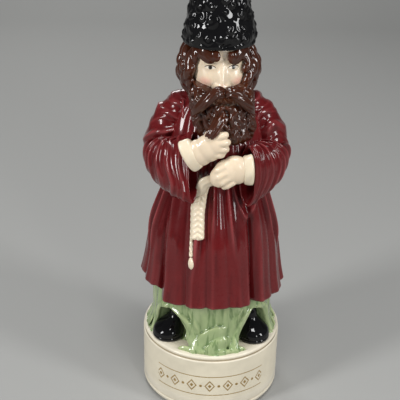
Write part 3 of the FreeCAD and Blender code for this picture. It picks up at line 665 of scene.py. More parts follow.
def mound():
    """The mound under the coat as radius over angle and height: it flares at its foot, its sides
    are fluted like pressed blades that lean with the height, and an arched niche is sunk at each
    boot, with a rounded lip."""
    share, angle = grid(130, 620)
    z = LEDGE_Z - 0.6 + share * (HEM_Z + 6.0 - LEDGE_Z)
    rise = z - LEDGE_Z
    wide, deep = mound_axes(rise)
    lean = angle + 0.0016 * rise * sin(2 * angle + 0.6) + 0.05 * sin(rise * 0.13 + 5 * angle)
    flute = np.abs(sin(15.5 * lean + 1.3 * sin(3 * lean))) ** 0.8
    small = sin(53 * lean + 2.0 * sin(5 * lean))
    out = (0.85 * flute + 0.22 * small) * (0.55 + 0.45 * sin(7 * angle + 0.12 * rise))
    foot = np.exp(-rise / 1.6) * (1.0 * sin(9 * angle + 1) + 0.5 * sin(17 * angle))
    foot = foot * cos(angle) ** 2
    inside = lip = np.zeros_like(z * angle)
    for low, high, half, tall in NICHES:
        climb = clip(rise / tall, 0, 1.4)
        middle = np.radians(low + (high - low) * clip(climb, 0, 1))
        across = np.abs(angle - middle) * NICHE_RADIUS
        arch = half * sqrt(clip(1 - climb**1.7, 0, 1)) - 4.0 * ease((climb - 0.9) / 0.2)
        inside = np.maximum(inside, ease((arch - across) / 1.8 + 0.5))
        edge = bell(across - arch - 2.0, 1.6) * ease(1.25 - climb) * (arch > -2)
        lip = np.maximum(lip, edge)
    relief = (out + foot) * (1 - lip)
    points = oval(angle, wide + relief + 1.5 * lip, deep + relief + 1.5 * lip, z)
    points[..., :2] *= (1 - inside * 0.26)[..., None]
    return skin(points)


def leaf(points, wide, thick):
    """A leaf that lies on the mound through (degrees from the front, height over the ledge, how far
    off) points: a flat tube with a fold along its middle, narrowing to a point."""
    steps = 44
    keys = []
    for degrees, rise, off in points:
        half_x, half_y = mound_axes(rise)
        turn = math.radians(degrees)
        keys.append(((half_x + off) * math.sin(turn), -(half_y + off) * math.cos(turn),
                     LEDGE_Z + 0.3 + rise))
    path = through(keys, steps)
    u = linspace(0, 1, steps)
    width = wide * (0.25 + 0.75 * sin(pi * (0.22 + 0.70 * u))) * rounded(steps, 0.03, 0.35)
    depth = thick * (0.5 + 0.5 * sin(pi * (0.2 + 0.75 * u))) * rounded(steps, 0.03, 0.3)
    return tube(path, sideways(path), width, depth, 24,
                lambda v, a: 0.22 * bell(sin(a) - 1, 0.3) - 0.10 * bell(cos(a), 0.25))


def grass_blades():
    """Blades that lean on the mound at every step round it, away from the niches."""
    draw = draws()
    blades = []
    for i in range(sizes().blade_count):
        turn = 2 * math.pi * (i + draw.uniform(-0.3, 0.3)) / sizes().blade_count
        middle = math.remainder(math.degrees(turn), 360)
        lean, tall, width = draw.uniform(-9, 9), draw.uniform(22, 37), draw.uniform(1.5, 2.8)
        if not (-66 < middle < -16 or 26 < middle < 70):
            points = [(middle, 0.0, 1.2), (middle + 0.15 * lean, 0.35 * tall, 0.1),
                      (middle + 0.5 * lean, 0.7 * tall, 0.1), (middle + lean, tall, 0.5)]
            blades.append(leaf(points, width, 0.8))
    return blades


def niche_leaves(niche, side):
    """Two leaves at the near side of a niche, one at its far side and one over its apex."""
    low, high, half, tall = niche
    spread = math.degrees(half / NICHE_RADIUS)
    near, far = low - side * (spread + 4), low + side * (spread + 3.5)
    top = high + side * 3
    return [
        leaf([(near, 0.4, 1.6), (near + side * 1.5, 0.36 * tall, 1.1),
              (near + side * 10, 0.80 * tall, 1.0), (top - side * 7, 1.04 * tall, 0.9)], 2.3, 1.5),
        leaf([(near - side * 3, 0.3, 1.0), (near - side * 4, 0.3 * tall, 0.5),
              (near + side * 1, 0.75 * tall, 0.9), (near + side * 8, 1.12 * tall, 0.8)], 1.9, 1.1),
        leaf([(far, 0.4, 0.6), (far - side * 1, 0.38 * tall, 0.6),
              (far - side * 7, 0.82 * tall, 0.9), (top + side * 1, 1.12 * tall, 1.0)], 2.0, 1.4),
        leaf([(top - side * 4, 1.02 * tall, 0.7), (top + side * 2, 1.0 * tall, 1.0),
              (top + side * 7, 0.92 * tall, 0.7), (top + side * 12, 0.94 * tall, 0)], 1.7, 1.1),
    ]


def grass():
    """The mound with its blades, the leaves round the niches and the leaves in front."""
    forms = [mound(), *grass_blades()]
    for niche, side in zip(NICHES, (RIGHT, LEFT)):
        forms += niche_leaves(niche, side)
    return gathered(forms + [leaf(points, wide, thick) for wide, thick, points in FRONT_LEAVES])


def grass_finish():
    """Green glaze, brushed darker in upright strokes, darker in creases where it pools and shade is
    painted in, and paler on crests where it runs thin and highlight is painted in.
    """
    green = colours().green
    finish = glaze("green_glaze", green, tinted(green, 0.30, 0.42, 0.30),
                   tinted(green, 1.55, 1.4, 1.5), 0.35, rough=0.2, coat=0.9, ripple=0.05)
    strokes = finish.noise(330, 3.0, stretch=(1, 1, 0.16), Distortion=0.6).between(0.50, 0.66)
    pale = finish.noise(120, 2.0, stretch=(1, 1, 0.4)).between(0.52, 0.72)
    base = finish.mix(pale * 0.45, finish.base(), tinted(green, 1.5, 1.35, 1.6))
    finish.set(Base_Color=finish.mix(strokes * 0.70, base, tinted(green, 0.34, 0.46, 0.32)))
    return finish.material


def boot(side):
    """A boot as rings from the sole up: a broad low toe towards the outside front, an instep that
    narrows fast and runs back and inwards to the ankle, and a groove above the sole. The right
    boot leans inwards more."""
    u, angle = grid(90, 72, 0.0)
    full, back, inwards = through(BOOT_RINGS, 90).T[..., None]
    z = LEDGE_Z + 0.15 + BOOT_TALL * u
    groove = -0.45 * bell(z - LEDGE_Z - 2.8, 0.5)
    edge = 1 - 0.06 * bell(z - LEDGE_Z, 0.8)
    rounding = 1 - 0.8 * ease((u - 0.93) / 0.07) ** 2
    crease = 0.10 * sin(z * 0.9 + 2 * cos(angle)) * ease((u - 0.35) / 0.2)
    forward, across = (half * full * edge * rounding + groove + crease for half in BOOT_HALF)
    forward, across = forward * cos(angle), across * sin(angle)
    toe = unit(np.array([side * 0.37, -0.93, 0.0]))
    aside = np.array([-toe[1], toe[0], 0.0])
    centre = np.array([side * BOOT_X, BOOT_Y, 0.0])
    lean = inwards * (1.0 if side == RIGHT else 0.3)
    return skin(centre + toe * (forward - back)[..., None] + aside * across[..., None]
                - X * side * lean[..., None] + Z * (z + 0 * angle)[..., None])


def black_finish(name, ripple):
    """Black glaze, mirror-like, with a soft ripple."""
    # The crease and crest colours paint faint shade in creases and faint highlight on crests.
    black, crease, crest = (0.004, 0.0038, 0.0042), (0.002,) * 3, (0.006,) * 3
    finish = glaze(name, black, crease, crest, 0.5, rough=0.5, coat=0.85, ripple=ripple)
    finish.set(Specular_IOR_Level=0.0, Coat_IOR=1.42)
    return finish.material


class DECANTER_OT_ground(bpy.types.Operator):
    """Makes the grass and the boots."""

    bl_idname = "decanter.ground"
    bl_label = "Grass and boots"

    def execute(self, context):
        piece("grass", grass(), grass_finish())
        black = black_finish("boot_glaze", 0.08)
        piece("boot_right_piece", boot(RIGHT), black)
        piece("boot_left_piece", boot(LEFT), black)
        return {"FINISHED"}


# ---------------------------------------------------------------- the coat

# Each crease between two pleats of the skirt: its angle from the front at the hem and at the waist,
# in degrees.
CREASES = np.array([
    (-171, -172), (-147, -148), (-121, -124), (-97, -102), (-74, -83), (-51, -64), (-23, -34),
    (-5, -9), (14, 7), (36, 40), (58, 66), (80, 86), (103, 106), (127, 129), (150, 151),
], float)
# How deep each of them is, as a share of the pleat size.
DEPTHS = np.array([0.8, 1.0, 0.7, 1.1, 0.45, 1.9, 0.6, 0.45, 0.25, 2, 0.5, 1, 0.8, 1, 0.9])
HEM_HALF, WAIST_HALF = (45.2, 42.6), (28.6, 26.4)
# Ovals of the upper coat from the sash up: share of the height, how far back, half width and depth.
BODICE_OVALS = (
    (0.0, 0.0, 28.9, 26.4), (0.18, -1.6, 29.4, 27.2), (0.38, -3.0, 29.2, 27.0),
    (0.6, -2.0, 28.4, 24.4), (0.8, -0.3, 26.0, 20.0), (0.93, 0.3, 20.5, 17.0),
    (1.0, 0.0, 15.0, 15.0),
)
# For each sleeve: how far out its mouth is, how far down, and how far it turns in.
SLEEVES = {RIGHT: (17.0, 39.0, 4.2), LEFT: (20.0, 43.0, 1.6)}


def skirt_axes(share):
    """Half width and half depth of the skirt without its pleats, from 0 at the hem to 1 at the
    waist: a bell that drops steeply at first and then flares."""
    flare = 1.15 * share - 0.15 * sin(pi * share) ** 2 - 0.15 * share**2
    return tuple(hem + (waist - hem) * flare for hem, waist in zip(HEM_HALF, WAIST_HALF))


def pleat_place(angle, share):
    """For each angle, in degrees, and share of the height: where it lies between its two creases,
    from 0 to 1, and the number of its pleat."""
    hem, waist = CREASES.T
    lines = hem[None] + (waist - hem)[None] * share**1.2
    lines = np.concatenate([lines[:, -1:] - 360, lines, lines[:, :1] + 360], 1)
    number = np.sum(angle[..., None] >= lines[:, None, :], -1) - 1
    low, high = (np.take_along_axis(lines, number + i, 1) for i in (0, 1))
    return (angle - low) / (high - low), number


def skirt():
    """The pleated skirt as radius over angle and height. Between its creases a pleat swells as a
    root of a sine, fuller towards one side, and carries one or two fine crests; next to a crease it
    drops by that crease's own depth. Gathers leave the sash and fade, and one fold hangs like a U
    under it. The hem is lowest in the middle of a pleat, higher at the figure's right, and rolls in
    to a thick edge."""
    around, rows, roll, thick = 570, 148, 20, 1.6
    gather_count, gather_height, tuck_in, tuck_up = 17, 4.2, 3.5, 5.0
    swag_middle, swag_height, panel_rise = 0.62, 1.8, 6.0
    degrees = linspace(-180, 180, around, endpoint=False)[None]
    angle, share = np.radians(degrees), linspace(0, 1, rows)[:, None]
    place, number = pleat_place(np.broadcast_to(degrees, (rows, around)), share)
    draw = draws(1)
    offset, strong = draw.uniform(0.30, 0.62, 40)[number], draw.uniform(0.6, 1.15, 40)[number]
    before, after = DEPTHS[(number - 1) % len(DEPTHS)], DEPTHS[number % len(DEPTHS)]
    fall = sizes().pleat * (0.32 + 0.68 * (1 - share) ** 1.2)
    low, high = 1 - ease(place / 0.42), 1 - ease((1 - place) / 0.30)
    sharp = 0.55 * bell(place, 0.07) + 0.55 * bell(1 - place, 0.05)
    out = 0.55 * fall - fall * (before * (0.62 * low + 0.38 * bell(place, 0.08))
                                + after * (0.62 * high + 0.38 * bell(1 - place, 0.06)))
    out = out - 0.3 * sharp
    fine = bell(place - offset - 0.12 * (share - 0.5), 0.11) * 0.75 * strong * (1 - 0.35 * share)
    fine += bell(place - 0.5 * offset, 0.09) * 0.30 * strong * ease(2.4 * share - 0.5)
    beat = sin(angle * gather_count + 1.6 * sin(angle * 5) + 0.8 + 1.2 * share)
    reach = 0.34 + 0.22 * sin(angle * 7 + 1)
    gathers = gather_height * np.maximum(beat, 0) ** 2.0 * ease((share - reach) / 0.40)
    above_swag = share - 0.70 - 4.2 * (angle - swag_middle) ** 2
    swag = swag_height * bell(above_swag, 0.035) * bell(angle - swag_middle, 0.26)
    out = out + fine + gathers * (1.45 - share) + swag - 0.7 * ease((share - reach) / 0.42)
    wide, deep = skirt_axes(share)
    notch = 0.1 + 0.30 * np.where(place[:1] < 0.5, before[:1], after[:1])
    hem_lift = notch * (1 - sin(pi * clip(place[:1], 0, 1)) ** 0.6) + 1.0
    side_panel = ease((-49 - degrees) / 6) * ease((degrees + 120) / 25)
    base = HEM_Z + (hem_lift + panel_rise * side_panel + 1.0 + 0.9 * sin(angle * 3 + 1))
    rings = oval(angle, wide + out, deep + out, base + (WAIST_Z + 1.5 - base) * share)
    turn_in = linspace(0, 1, roll)[:, None]
    tuck = ease((turn_in - 0.75) / 0.25)
    inward = thick * (1 - cos(pi * turn_in)) + tuck_in * tuck
    drop = thick * sin(pi * turn_in) - tuck_up * tuck
    away = unit(rings[0] * [1, 1, 0])
    edge = rings[0] - away * inward[..., None] - Z * drop[..., None]
    return skin(np.concatenate([edge[:0:-1], rings], 0))


def bodice():
    """The coat above the sash: ovals through waist, chest, shoulders and collar, with folds that
    rise from the sash and fade, soft folds across, and the lap of the coat's front as a step."""
    rows, around, fold_count, drape_count, drape_height, lap_step = 150, 480, 17, 10, 0.45, 0.5
    share, angle = grid(rows, around)
    level, back, wide, deep = through(BODICE_OVALS, rows).T[..., None]
    z = WAIST_Z - 1.0 + (SHOULDER_Z + 1.0 - WAIST_Z) * level
    fold = sin(fold_count * angle + 1.4 * sin(3 * angle) + 3 * share)
    out = np.abs(fold) ** 0.8 * ease(1.25 - 1.9 * share)
    wander = 2.2 * sin(3 * angle + 3 * share) + 12 * share * sin(angle)
    drape = sin(drape_count * angle + wander)
    out = out + drape_height * drape * ease(4 * (1 - share)) * ease(4 * share)
    past_line = (wide + out) * sin(angle) - (9.0 - 16 * share)
    lap = lap_step * ease(past_line / 1.2 + 0.5) * (cos(angle) > 0) * ease(3 * (1 - share))
    points = oval(angle, wide + out + lap * cos(angle), deep + out + lap, z)
    points[..., 1] += back
    return skin(points)


def collar():
    """The coat's turned edge: a strip each side, from behind the neck down beside the beard."""
    strips = []
    for side in (RIGHT, LEFT):
        path = through([(0, 17.2, SHOULDER_Z - 0.6), (side * 14, 13, SHOULDER_Z - 0.6),
                        (side * 20.0, -3, SHOULDER_Z - 4.0), (side * 20.5, -12, SHOULDER_Z - 10),
                        (side * 19.5, -15.0, SHOULDER_Z - 18)], 90)
        thick = 1.5 * rounded(90, 0.02, 0.5)
        strips.append(tube(path, unit(path * [1, 1, 0]), thick * 0.9, thick * 1.3, 24))
    return gathered(strips)


def sleeve(side):
    """A wide sleeve: a tube from the shoulder round the elbow to its tall open end, whose wall
    turns in to a dark hollow. Folds fan out of the crook of the elbow, because the rings lie close
    together there; each is a fine crest on a broad swell, and they wander with the angle."""
    reach, drop, turn_in = SLEEVES[side]
    rows, around, wall, fold_count, hollow_rows = 240, 160, 1.1, 6.6, 44
    top, mouth_z = SHOULDER_Z, SHOULDER_Z - drop
    curve = through([
        (11.5, 2.5, top - 6.0, 8.2, 9.0),
        (20.5, 1.5, top - 10.5, 10.2, 11.0),
        (28.8, 0.0, top - 20.5, 11.3, 12.0),
        (32.8, -4.0, top - 35.0, 12.2, 13.4),
        (31.0, -13.5, top - 40.0 - 0.15 * drop + 6, 11.8, 15.2),
        (25.5 + 0.15 * (reach - 17), -23.0 - 0.5 * turn_in, 0.5 * (top - 40) + 0.5 * mouth_z - 0.4,
         9.8 - 0.2 * turn_in, 17.0),
        (reach + 1.2 - turn_in, -31.4 - 0.3 * turn_in, mouth_z + 0.6 * turn_in,
         7.2 - 0.4 * turn_in, 19.0 + 0.6 * turn_in),
    ], rows)
    path = curve[:, :3]
    shift = draws(3 + side).uniform(0, 2 * pi, 8)

    def folds(u, angle):
        wander = 0.050 * sin(angle + shift[0]) + 0.022 * sin(2 * angle + shift[1] + 4 * u)
        wander = wander + 0.012 * sin(5 * angle + shift[5] + 9 * u)
        beat = (u + 0.55 * u**3 + wander) * 2 * pi * fold_count
        beat = beat + 1.1 * sin(4.2 * u * pi + shift[2])
        crest = (0.5 + 0.5 * cos(beat)) ** 2.4
        minor = (0.5 + 0.5 * cos(beat * 1.7 + shift[3] + 1.5 * sin(angle))) ** 3
        crook = 0.60 + 0.40 * cos(0.5 * (angle - 2.0)) ** 4
        uneven = 0.75 + 0.25 * sin(3 * angle + 11 * u + shift[6])
        fade = ease(u / 0.12) * (1 - 0.5 * ease((u - 0.88) / 0.12))
        rise = 1.45 * crook * uneven * (crest - 0.3) + 0.32 * (minor - 0.25)
        return sizes().wrinkle * fade * rise

    outside = tube(path, X, curve[:, 3], curve[:, 4], around, folds).points[:-2]
    outside = outside.reshape(rows, around, 3)
    turn = linspace(0, pi, 22)[1:, None, None]
    last, centre = outside[-1], path[-1]
    ahead, inward = unit(path[-1] - path[-6]), unit(centre - last)
    lip = last[None] + inward[None] * wall * (1 - cos(turn)) + ahead * wall * sin(turn)
    deep = linspace(0, 1, 30)[1:, None, None]
    back = path[::-1][(deep[:, 0, 0] * hollow_rows).astype(int)][:, None]
    hollow = back + (lip[-1] - centre)[None] * (1 - 0.45 * deep)
    return skin(np.concatenate([outside, lip, hollow], 0) * [side, 1, 1])


def coat_finish():
    """Burgundy glaze: nearly black-red in the creases, where it pools and shade is painted in, and
    thin and pinkish along the crests, with painted highlight.
    """
    burgundy = colours().burgundy
    finish = glaze("burgundy_glaze", burgundy, tinted(burgundy, 0.20, 0.18, 0.20),
                   (0.25, 0.046, 0.048), 0.75, rough=0.24, coat=0.75, ripple=0.06)
    streaks = finish.noise(240, 3.0, stretch=(1, 1, 0.10), Distortion=0.4).between(0.46, 0.70)
    dark = tinted(burgundy, 0.52, 0.42, 0.48)
    finish.set(Base_Color=finish.mix(streaks * 0.5, finish.base(), dark), Coat_IOR=1.42)
    return finish.material


class DECANTER_OT_coat(bpy.types.Operator):
    """Makes the skirt, the upper coat with its collar, and the sleeves."""

    bl_idname = "decanter.coat"
    bl_label = "Coat"

    def execute(self, context):
        glazed = coat_finish()
        piece("skirt", skirt(), glazed)
        piece("bodice", gathered([bodice(), collar()]), glazed)
        piece("sleeve_right_piece", sleeve(RIGHT), glazed)
        piece("sleeve_left_piece", sleeve(LEFT), glazed)
        return {"FINISHED"}


# ---------------------------------------------------------------- the sash

# The middle line of the knot, and x down the plait and down the cord at even steps.
KNOT = ((4.0, -32.5, 165.4), (-2.0, -34.8, 165.4), (-6.8, -35.2, 163.4), (-8.4, -34.6, 159.4),
        (-8.8, -33.0, 154.5))
PLAIT_X = (-4.6, -8.2, -9.9, -10.0, -9.9)
CORD_X = (-7.0, -11.8, -13.2, -13.5, -13.6, -13.6, -13.5)
# The little light that comes back out of a cream glaze.
SOFT_LIGHT = {"Subsurface_Weight": 0.08, "Subsurface_Radius": (0.8, 0.5, 0.3),
              "Subsurface_Scale": 0.0015}


def coat_front(x, z):
    """How far the skirt's front stands forward at x and z."""
    share = clip((z - HEM_Z) / (WAIST_Z - HEM_Z), 0, 1)
    wide, deep = skirt_axes(share)
    return -(deep + 0.9 * sizes().pleat * (1 - share)) * sqrt(clip(1 - (x / wide) ** 2, 0, 1))


def belt():
    """The sash round the waist: an oval band, full in its middle, with folds along it."""
    angle, turn = circle(420, -pi)[:, None], circle(26)[None]
    middle, half = (WAIST_Z + SASH_TOP_Z) / 2, (SASH_TOP_Z - WAIST_Z) / 2
    z = middle + half * sin(turn) + 0.35 * sin(3 * angle)
    fold = 0.30 * sin(3 * turn + 2 * sin(4 * angle)) + 0.18 * sin(23 * angle + 3 * turn)
    out = 1.7 * cos(turn) + fold * (cos(turn) > -0.2)
    rings = oval(angle, WAIST_HALF[0] + 0.6 + out, WAIST_HALF[1] + 0.6 + out, z)
    number = np.arange(z.size).reshape(z.shape)
    ahead = np.roll(number, -1, 0)
    quads = stack([number, np.roll(number, -1, 1), np.roll(ahead, -1, 1), ahead], -1)
    return Form(rings.reshape(-1, 3), quads.reshape(-1, 4)).outward()


def braid(path, half, thick, beats):
    """A flat braid along a path: its ridges meet in the middle as a row of Vs that point down."""

    def relief(u, angle):
        slant = np.abs(cos(angle))
        ridge = 0.5 + 0.5 * cos(2 * pi * (beats * u - 0.85 * slant))
        height = 0.60 * ridge**0.8 - 0.40 * bell(cos(angle), 0.13) - 0.30
        return height * (1 - 0.8 * slant**6)

    shape = rounded(len(path), 0.02, 0.05) * (0.62 + 0.38 * ease(linspace(0, 2.2, len(path))))
    return tube(path, X, half * shape, thick * shape, 96, relief)


def rope(path, radius, beats):
    """A twisted rope along a path: three strands wind round it."""
    shape = radius * (0.80 + 0.20 * cos(linspace(0, 5, len(path))))
    return tube(path, X, shape, shape, 48,
                lambda u, angle: 0.42 * np.abs(cos(1.5 * angle + pi * beats * u)) - 0.3)


def hanging(x_keys, top, low, stand_off):
    """A path down the coat's front, through x at even steps from top to low, stand_off from it."""
    z = linspace(top, low, 220)
    x = through([(x,) for x in x_keys], 220)[:, 0]
    return stack([x, coat_front(x, z) - stand_off, z], -1)


def sash_ends():
    """The knot under the hand, the broad plait, and the long cord with its tassel."""
    bend = through(KNOT, 50)
    swell = rounded(50, 0.1, 0.3)
    knot = tube(bend, sideways(bend, FRONT), 3.4 * swell, 1.9 * swell, 32,
                lambda v, a: 0.18 * cos(7 * cos(a)))
    broad = braid(hanging(PLAIT_X, 161.5, 125.5, 1.6), 4.1, 2.1, 11)
    cord_path = hanging(CORD_X, 159.5, 115.0, 1.3)
    tassel = through([cord_path[-1] + [0, 0, -0.5], (-13.5, -40.6, 111.0),
                      (-13.4, -41.0, 106.4)], 40)
    tassel[:, 1] = coat_front(tassel[:, 0], tassel[:, 2]) - 1.2
    swell = 1.15 + 0.85 * sin(pi * linspace(0, 1, 40)**1.2)
    swell = swell * rounded(40, 0.1, 0.25)
    tail = tube(tassel, FRONT, swell * 0.85, swell, 24,
                lambda v, a: 0.12 * sin(7 * a) * sin(pi * v))
    return knot, broad, gathered([rope(cord_path, 1.7, 13), tail])


def cream_finish(name, *tint):
    """Cream glaze, satin, darker and warmer in the creases, where it pools and shade is painted in,
    and lighter on crests, with painted highlight.
    """
    cream = tinted(colours().cream, *tint)
    finish = glaze(name, cream, tinted(cream, 0.66, 0.50, 0.36), tinted(cream, 1.05, 1.08, 1.14),
                   0.25, rough=0.22, coat=0.35, ripple=0.03)
    finish.set(Specular_IOR_Level=0.3, **SOFT_LIGHT)
    return finish.material


class DECANTER_OT_sash(bpy.types.Operator):
    """Makes the sash round the waist with its knot, and its two hanging ends."""

    bl_idname = "decanter.sash"
    bl_label = "Sash"

    def execute(self, context):
        cream = cream_finish("sash_glaze", 1.02, 1.06, 1.08)
        knot, broad, cord = sash_ends()
        piece("sash", gathered([belt(), fused(knot, 0.3, 3)]), cream)
        piece("sash_plait", broad, cream)
        piece("sash_cord", cord, cream)
        return {"FINISHED"}


# ---------------------------------------------------------------- the hands

# The hand that holds the beard: its smooth back towards the front, the fingers curled away at its
# far side, the index finger and thumb closed on a lock. Balls as ball() takes them, then the joints
# and radius of each finger, the thumb last.
RIGHT_HAND = (
    (((-4.6, -38.6, 187.6), (9.4, 5.4, 8.4), -32), ((-9.6, -38.0, 184.4), (7.4, 5.4, 8.4), -30),
     ((-0.6, -39.0, 190.2), (6.8, 5.2, 7.6), -30), ((-2.6, -38.8, 194.4), (5.6, 4.6, 5.0), -40),
     ((1.6, -39.2, 190.6), (5.4, 4.4, 7.8), -12)),
    ((((-2.0, -40.4, 194.4), (1.6, -41.4, 196.0), (4.4, -41, 196.8), (5.8, -39.4, 196.8)), 2.5),
     (((-1.0, -40.8, 190.8), (2.8, -41.8, 192.2), (5.6, -41.2, 192.4), (6.8, -39.2, 192)), 2.6),
     (((-1.4, -40.6, 187.2), (2.4, -41.6, 188.2), (5.0, -41, 188.2), (6.2, -39.0, 187.6)), 2.5),
     (((-2.4, -40.2, 184.0), (0.8, -41.0, 184.6), (2.8, -40.4, 184.4), (4, -38.8, 183.8)), 2.4),
     (((-5.5, -39.2, 195.0), (-2, -40.4, 198.4), (0.8, -40.6, 200.6), (2.6, -40, 201.6)), 2.2)),
)
# The hand that rests at the belt: its back up, four fingers together and bent down.
LEFT_HAND = (
    (((11.4, -37.4, 173.6), (9.2, 5.6, 9.0), 12), ((7.0, -38.2, 172.4), (8.4, 5.4, 8.4), 24),
     ((3.0, -38.6, 170.4), (6.2, 5.0, 7.8), 34)),
    ((((6.4, -40.4, 177.4), (2.6, -40.8, 175.6), (0.2, -40.2, 173.4), (-1.2, -38.6, 171.4)), 2.5),
     (((7.2, -41, 174.2), (3.4, -41.6, 171.8), (0.6, -40.8, 169.4), (-0.8, -39.0, 167.2)), 2.6),
     (((8.6, -41, 170.8), (5.2, -41.6, 168.4), (2.6, -40.8, 166.2), (1.4, -39.0, 164.2)), 2.5),
     (((11, -40.4, 167.8), (8.0, -40.8, 165.8), (5.6, -40.2, 164.2), (4.4, -38.8, 162.8)), 2.3)),
)


def finger(keys, radius):
    """A finger through its joints, round at its tip and a little fuller at the last joint."""
    u = linspace(0, 1, 30)
    thick = radius * (1 - 0.16 * u + 0.05 * cos(4 * pi * u)) * rounded(30, 0.08, 0.22)
    return tube(through(keys, 30), FRONT, thick, thick, 18)


def hand(balls, fingers):
    """A hand of balls and fingers that run into each other, which its row of PIECES has fused."""
    return gathered([ball(*part) for part in balls] + [finger(*part) for part in fingers])


def cuff(centre, heading, half, thick):
    """A shirt cuff: a round-edged band square to the heading, a little narrower towards the hand,
    with shallow folds along it."""
    u = linspace(-1, 1, 64)
    path = np.array(centre) + unit(np.array(heading)) * (u * thick)[:, None]
    shape = np.maximum(sqrt(clip(1 - u**6, 0, 1)) * (1 - 0.07 * u), 0.05)
    return tube(path, FRONT, half[1] * shape, half[0] * shape, 72,
                lambda v, a: 0.22 * sin(5 * a + 4 * v) * sin(pi * v))


class DECANTER_OT_hands(bpy.types.Operator):
    """Makes the hands and their shirt cuffs."""

    bl_idname = "decanter.hands"
    bl_label = "Hands"

    def execute(self, context):
        glazed = cream_finish("hand_glaze", 1.0, 1.0, 1.0)
        linen = cream_finish("cuff_glaze", 1.0, 1.05, 1.06)
        piece("hand_right_piece", hand(*RIGHT_HAND), glazed)
        piece("hand_left_piece", hand(*LEFT_HAND), glazed)
        right = cuff((-14.6, -37.0, 182.6), (0.86, -0.1, 0.48), (10.2, 6.2), 4.6)
        left = cuff((18.8, -36.6, 173.6), (-0.98, -0.12, -0.05), (9.4, 6.0), 3.6)
        piece("cuff_right_piece", right, linen)
        piece("cuff_left_piece", left, linen)
        return {"FINISHED"}


# ---------------------------------------------------------------- the head

# A plain face on the usual thirds: the chin and the crown stand for the whole head, the eyes lie
# halfway between them and one eye's width apart, and the nose ends halfway from eyes to chin.
CHIN_Z = SHOULDER_Z - 3.0
HEAD_TALL = 46.0
HEAD_HALF = (16.9, 18.2)
EYE_Z = CHIN_Z + HEAD_TALL / 2
EYE_HALF = HEAD_HALF[0] / 5
EYE_X = 2 * EYE_HALF
NOSE_Z = (EYE_Z + CHIN_Z) / 2
BROW_Z = EYE_Z + 0.10 * HEAD_TALL
# Shares of the head's half width and half depth, from under the chin to the crown.
HEAD_SHAPE = ((0.42, 0.50), (0.74, 0.80), (0.93, 0.95), (1, 1), (1, 1), (0.97, 0.96), (0.93, 0.91))
BEARD_Y, BEARD_LOW = -14.0, 186.5
# Middle lines of the three locks held in the fist, and their radii.
HELD_LOCKS = (
    ((2.5, -37.0, 207.5), (0.0, -40.2, 203.5), (-2.6, -42.6, 199.5), (-5.2, -43.4, 195.2)),
    ((4.2, -37.0, 206.5), (2.6, -40.2, 202.5), (-0.4, -42.8, 198.4), (-3.4, -43.6, 194.6)),
    ((0.0, -37.0, 206.5), (-2.4, -40.0, 203.0), (-4.6, -42.2, 199.2), (-7.0, -42.6, 196.0)),
)
HELD_RADII = (1.7, 1.4, 1.3)
# One side of the moustache: how far out, y, and height over the nose's end.
MOUSTACHE = ((0.4, -32.4, 1.2), (4.6, -34.6, 2.0), (9.8, -34.8, -1.2), (14.8, -32.6, -6.8),
             (18.2, -29.4, -12.2))
# The fringe's locks, the ones beside the face and the band along the hat: half width, half
# thickness, and x, y and depth under the crown along each.
FRINGE = (
    (3.9, 1.6, ((-13.0, -13.5, 0.6), (-11.0, -15.8, 2.6), (-8.2, -17.6, 5.0), (-4.8, -18.8, 7.6))),
    (2.8, 1.5, ((-4.6, -17.5, 0.6), (-4.2, -18.6, 2.6), (-3.6, -19.2, 4.8), (-3.0, -19.4, 7.0))),
    (3.8, 1.6, ((12.6, -13.6, 0.8), (10.4, -15.8, 3.4), (7.8, -17.4, 6.2), (5.6, -18.2, 8.8))),
    (2.2, 1.5, ((4.6, -18.0, 0.8), (5.0, -18.6, 3.0), (5.2, -18.8, 6.0), (4.8, -18.8, 8.4))),
    (2.4, 1.9, ((15.5, -9.5, 1.0), (14.6, -12.0, 4.5), (15.2, -11.5, 9.0), (16.6, -9.0, 14.0))),
    (2.4, 1.9, ((-15.5, -9.5, 1.0), (-15.0, -12, 4.5), (-15.4, -11.5, 9.0), (-16.8, -9, 14.0))),
    (1.9, 1.5, ((-17.0, -5.0, 2.6), (-14.2, -11.6, 2.3), (-9.0, -16.2, 2.3), (-1.6, -18.4, 2.5))),
    (1.9, 1.5, ((17.0, -5.0, 2.6), (14.0, -11.8, 2.3), (9.4, -15.8, 2.3), (3.4, -18.0, 2.5))),
)


def face_relief(x, z):
    """Height of the face over the plain head, in millimetres, as bells summed: sunken sockets with
    the eyeballs in them, lids, soft brows, a straight nose with its wings, full cheeks, and the
    fold from nose to cheek."""
    mirror = np.abs(x)
    aside = mirror - EYE_X
    socket = -1.5 * bell(aside, 3.9) * bell(z - EYE_Z - 0.3, 2.6)
    eyeball = 1.25 * bell(aside, 2.5) * bell(z - EYE_Z, 1.75)
    lid = 0.28 * bell(aside, 3.0) * bell(z - EYE_Z - 1.5 + 0.10 * aside**2, 0.42)
    brow = 0.75 * bell(aside + 0.6, 4.6) * bell(z - BROW_Z + 0.02 * mirror**2, 1.6)
    down = clip((EYE_Z + 1.6 - z) / (EYE_Z + 1.6 - NOSE_Z), 0, 1)
    under = ease((z - NOSE_Z + 1.5) / 2.2)
    nose = (0.7 + 3.7 * down**1.25) * bell(x, 2.0 + 1.2 * down) * under * ease((EYE_Z + 4 - z) / 4)
    wings = 1.5 * bell(mirror - 2.9, 1.35) * bell(z - NOSE_Z - 0.9, 1.35)
    cheek = 1.15 * bell(mirror - 9.6, 4.2) * bell(z - NOSE_Z - 3.0, 4.2)
    fold = -0.45 * bell(mirror - 5.4 - 0.25 * (NOSE_Z + 2 - z), 0.9) * bell(z - NOSE_Z + 0.5, 2.2)
    return socket + eyeball + lid + brow + nose + wings + cheek + fold


